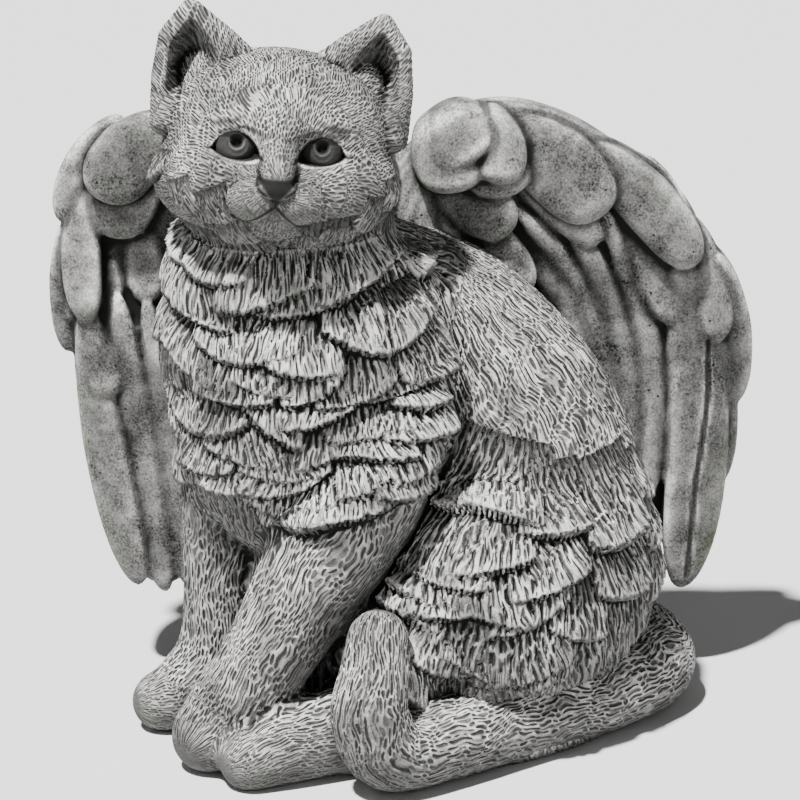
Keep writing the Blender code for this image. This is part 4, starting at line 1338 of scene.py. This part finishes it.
def carved_columns():
    """Columns of staggered lens-shaped grooves, laid out by the comb attribute, and the ridges between. The
    grooves are painted dark, partly dirt and partly painted shade, as well as cut into the bump.
    """
    made = bpy.data.node_groups.get("carved_columns")
    if made:
        return made
    inputs = {
        "Groove share": ("NodeSocketFloat", GROOVE_SHARE),
        "Groove length": ("NodeSocketFloat", GROOVE_LENGTH),
        "Unevenness": ("NodeSocketFloat", 0.8),
        "Streaks": ("NodeSocketFloat", 1.3),
    }
    outputs = {"Groove": "NodeSocketFloat", "Ridge": "NodeSocketFloat"}
    tree, given, out = new_group("carved_columns", inputs, outputs)
    place = add_node(tree, "ShaderNodeAttribute", attribute_name="comb").outputs["Vector"]
    u, v, depth = add_node(tree, "ShaderNodeSeparateXYZ", {0: place}).outputs
    column = maths(tree, "FLOOR", u)
    row = maths(tree, "ADD", v, maths(tree, "FRACT", maths(tree, "MULTIPLY", column, STAGGER)))
    cell = add_node(tree, "ShaderNodeCombineXYZ", {0: column, 1: maths(tree, "FLOOR", row)}).outputs[0]
    chance = add_node(tree, "ShaderNodeTexWhiteNoise", {"Vector": cell}, noise_dimensions="3D")
    first, second, third = add_node(tree, "ShaderNodeSeparateColor", {0: chance.outputs["Color"]}).outputs
    shift = maths(tree, "MULTIPLY", maths(tree, "SUBTRACT", first, 0.5), given["Unevenness"])
    x = maths(tree, "MULTIPLY_ADD", maths(tree, "FRACT", u), 2.0, -1.0)
    x = maths(tree, "ABSOLUTE", maths(tree, "ADD", x, shift))
    y = maths(tree, "MULTIPLY_ADD", maths(tree, "FRACT", row), 2.0, -1.0)
    y = maths(tree, "DIVIDE", y, given["Groove length"])
    left = maths(tree, "SUBTRACT", 1.0, product(tree, y, y))
    lens = maths(tree, "SQRT", maths(tree, "MAXIMUM", left, 0.0001))
    swell = maths(tree, "MULTIPLY_ADD", maths(tree, "SUBTRACT", second, 0.5), given["Unevenness"], 1.0)
    lip = ramp(tree, attribute(tree, "lip"), 0.1, 1.0, (1.3, 0.8))
    wide = product(tree, lens, swell, product(tree, given["Groove share"], lip))
    edge = maths(tree, "DIVIDE", x, wide)
    soft = ramp(tree, edge, 1.5, 0.2)
    streaks = []
    for layer in (0.0, 9.0):
        drawn = add_node(tree, "ShaderNodeCombineXYZ", {0: u, 1: v, 2: layer}).outputs[0]
        streaks.append(noise(tree, given["Streaks"], 2.0, 0.6, drawn))
    faint = ramp(tree, third, 0.1, 0.5, (0.3, 1.0))
    fade = product(tree, faint, ramp(tree, streaks[0], 0.3, 0.55, (0.3, 1.0)))
    strength = ramp(tree, depth, 0.0, 0.35)
    tree.links.new(product(tree, soft, fade, strength), out["Groove"])
    crest = ramp(tree, streaks[1], 0.3, 0.6, (0.2, 1.0))
    tree.links.new(product(tree, ramp(tree, edge, 0.75, 2.0), crest, strength), out["Ridge"])
    return tree


def dirt_and_shade_mask():
    """A mask of dirt and of painted shade in nooks and hollows, broken up by stains."""
    made = bpy.data.node_groups.get("dirt_and_shade_mask")
    if made:
        return made
    inputs = {
        "Nook": ("NodeSocketFloat", 0.35),
        "Hollow": ("NodeSocketFloat", 3.0),
        "Stains per metre": ("NodeSocketFloat", 120.0),
    }
    tree, given, out = new_group("dirt_and_shade_mask", inputs, {"Dirt": "NodeSocketFloat"})
    nook = maths(tree, "DIVIDE", attribute(tree, "nook"), given["Nook"])
    hollow = maths(tree, "DIVIDE", attribute(tree, "hollow"), given["Hollow"])
    deep = maths(tree, "ADD", maths(tree, "MAXIMUM", nook, -0.3), maths(tree, "MAXIMUM", hollow, -0.3))
    stain = maths(tree, "SUBTRACT", noise(tree, given["Stains per metre"], 6.0, 0.65), 0.5)
    broken = maths(tree, "MULTIPLY_ADD", stain, 0.9, deep)
    tree.links.new(ramp(tree, broken, 0.05, 1.0), out["Dirt"])
    return tree


def stone_material(name, look, groove, patchy, grain, dirt):
    """Cast stone: worn light on its ridges, mid on open ground, and dark where dirt has settled and where
    shade is painted in nooks, hollows and grooves; tops are painted lighter and undersides darker.
    """
    made = bpy.data.materials.get(name)
    if made:
        return made
    material = bpy.data.materials.new(name)
    material.use_nodes = True
    tree = material.node_tree
    shader = tree.nodes["Principled BSDF"]
    grains = add_node(tree, "ShaderNodeGroup", node_tree=stone_grain())
    dirt_and_shade = add_node(tree, "ShaderNodeGroup", node_tree=dirt_and_shade_mask())
    for node, values in ((grains, grain), (dirt_and_shade, dirt)):
        for socket, value in values.items():
            node.inputs[socket].default_value = value
    # Dirt and painted shade in nooks and hollows, and the painted shade of the lids, pupils and scored
    # lines.
    dark = maths(tree, "MAXIMUM", dirt_and_shade.outputs["Dirt"], attribute(tree, "shade_and_soot"))
    worn = ramp(tree, attribute(tree, "nook"), *(FUR_WEAR if groove else FEATHER_WEAR))
    height = product(tree, grains.outputs["Height"], 0.25)
    if groove:
        fur = add_node(tree, "ShaderNodeGroup", node_tree=carved_columns())
        cut = fur.outputs["Groove"]
        # Painted shade at each lock's root, under the row above, and painted light towards its lip.
        lip = ramp(tree, attribute(tree, "lip"), 0.0, 0.85, (LIP_SHADE, 1.0))
        # Each groove is painted dark: partly dirt, partly painted shade in the groove.
        dark = maths(tree, "MAXIMUM", dark, maths(tree, "MULTIPLY", cut, groove))
        dark = maths(tree, "MAXIMUM", dark, ramp(tree, attribute(tree, "lip"), 0.3, 0.0, (0.0, ROOT_SHADE)))
        worn = maths(tree, "MULTIPLY", maths(tree, "MAXIMUM", worn, fur.outputs["Ridge"]), lip)
        height = maths(tree, "SUBTRACT", height, cut)
    patina = ramp(tree, noise(tree, PATCHES_PER_METRE, 8.0, 0.66), 0.34, 0.62, (patchy, 1.0))
    normal = tree.nodes.new("ShaderNodeNewGeometry").outputs["Normal"]
    facing = add_node(tree, "ShaderNodeSeparateXYZ", {0: normal})
    # Partly weathering, partly painted light: tops painted lighter, undersides darker.
    light_and_wash = ramp(tree, facing.outputs["Z"], -0.5, 0.7, (UNDER_SHADE_AND_WASH, TOP_LIGHT_AND_WASH))
    worn = product(tree, worn, product(tree, patina, light_and_wash))
    worn = maths(tree, "MINIMUM", worn, 1.0)
    base = mix_colour(tree, worn, look.mid, look.light)
    base = mix_colour(tree, 1.0, base, grains.outputs["Shade"], "MULTIPLY")
    damp = ramp(tree, noise(tree, MOSS_PATCHES_PER_METRE, 5.0), 0.5, 0.75)
    rim = ramp(tree, attribute(tree, "hollow"), -0.2, -2.5)
    base = mix_colour(tree, product(tree, damp, rim, MOSS_SHARE), base, look.moss)
    base = mix_colour(tree, dark, base, look.dark)
    tree.links.new(base, shader.inputs["Base Color"])
    shader.inputs["Roughness"].default_value = STONE_ROUGHNESS
    shader.inputs["Specular IOR Level"].default_value = STONE_SPECULAR
    relief = {"Strength": BUMP_STRENGTH, "Distance": BUMP_DISTANCE, "Height": height}
    bump = add_node(tree, "ShaderNodeBump", relief)
    tree.links.new(bump.outputs[0], shader.inputs["Normal"])
    return material


def fur_stone(context):
    return stone_material("fur_stone", context.scene.stone_look, *FUR_STONE)


def feather_stone(context):
    return stone_material("feather_stone", context.scene.stone_look, *FEATHER_STONE)


class STATUE_OT_stage(bpy.types.Operator):
    """Set the pale floor, the soft lights and the camera"""

    bl_idname = "statue.stage"
    bl_label = "Stage"

    def execute(self, context):
        scene = context.scene
        bm = bmesh.new()
        bmesh.ops.create_grid(bm, x_segments=1, y_segments=1, size=FLOOR_SIZE)
        mesh = bpy.data.meshes.new("floor")
        bm.to_mesh(mesh)
        bm.free()
        floor = linked("floor", mesh)
        paper = bpy.data.materials.new("floor_paper")
        paper.use_nodes = True
        shader = paper.node_tree.nodes["Principled BSDF"]
        shader.inputs["Base Color"].default_value = (*[PAPER_SHADE] * 3, 1)
        shader.inputs["Roughness"].default_value = PAPER_ROUGHNESS
        mesh.materials.append(paper)

        world = bpy.data.worlds.new("studio")
        world.use_nodes = True
        sky = world.node_tree.nodes["Background"]
        sky.inputs["Color"].default_value = (1, 1, 1, 1)
        sky.inputs["Strength"].default_value = WORLD_STRENGTH
        scene.world = world
        for name, energy, angle, heading in LIGHTS:
            light = bpy.data.lights.new(name, "SUN")
            light.energy = energy
            light.angle = math.radians(angle)
            lamp = linked(name, light)
            lamp.rotation_euler = Vector(heading).to_track_quat("-Z", "Y").to_euler()

        camera = linked("camera", bpy.data.cameras.new("camera"))
        camera.data.sensor_width = CAMERA_SENSOR
        camera.data.lens = CAMERA_LENS
        tilt = math.radians(CAMERA_ELEVATION)
        back = Vector((0, -math.cos(tilt), math.sin(tilt)))
        target = Vector(CAMERA_TARGET) - Vector((*FIGURE_MIDDLE, 0))
        camera.location = MM * (target + back * CAMERA_DISTANCE)
        camera.rotation_euler = (-back).to_track_quat("-Z", "Y").to_euler()
        scene.camera = camera
        return {"FINISHED"}


class STATUE_PT_panel(bpy.types.Panel):
    """Lists the steps that build the statue"""

    bl_idname = "STATUE_PT_panel"
    bl_label = "Memorial statue"
    bl_space_type = "VIEW_3D"
    bl_region_type = "UI"
    bl_category = "Statue"

    def draw(self, context):
        for name in ("fur_detail", "head_detail", "wing_detail", "carving"):
            self.layout.prop(context.scene.statue_sizes, name)
        for name in ("light", "mid", "dark", "moss"):
            self.layout.prop(context.scene.stone_look, name)
        for operator in STEPS:
            self.layout.operator(operator.bl_idname)


STEPS = (STATUE_OT_stage, STATUE_OT_body, STATUE_OT_head, STATUE_OT_eyes, STATUE_OT_tail, STATUE_OT_wings)
CLASSES = (StatueSizes, StoneLook, *STEPS, STATUE_PT_panel)


def register():
    for made in CLASSES:
        bpy.utils.register_class(made)
    bpy.types.Scene.statue_sizes = PointerProperty(type=StatueSizes)
    bpy.types.Scene.stone_look = PointerProperty(type=StoneLook)


def unregister():
    del bpy.types.Scene.stone_look
    del bpy.types.Scene.statue_sizes
    for made in reversed(CLASSES):
        bpy.utils.unregister_class(made)


def main():
    register()
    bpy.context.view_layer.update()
    for step in STEPS:
        family, name = step.bl_idname.split(".")
        getattr(getattr(bpy.ops, family), name)()


if __name__ == "__main__":
    main()
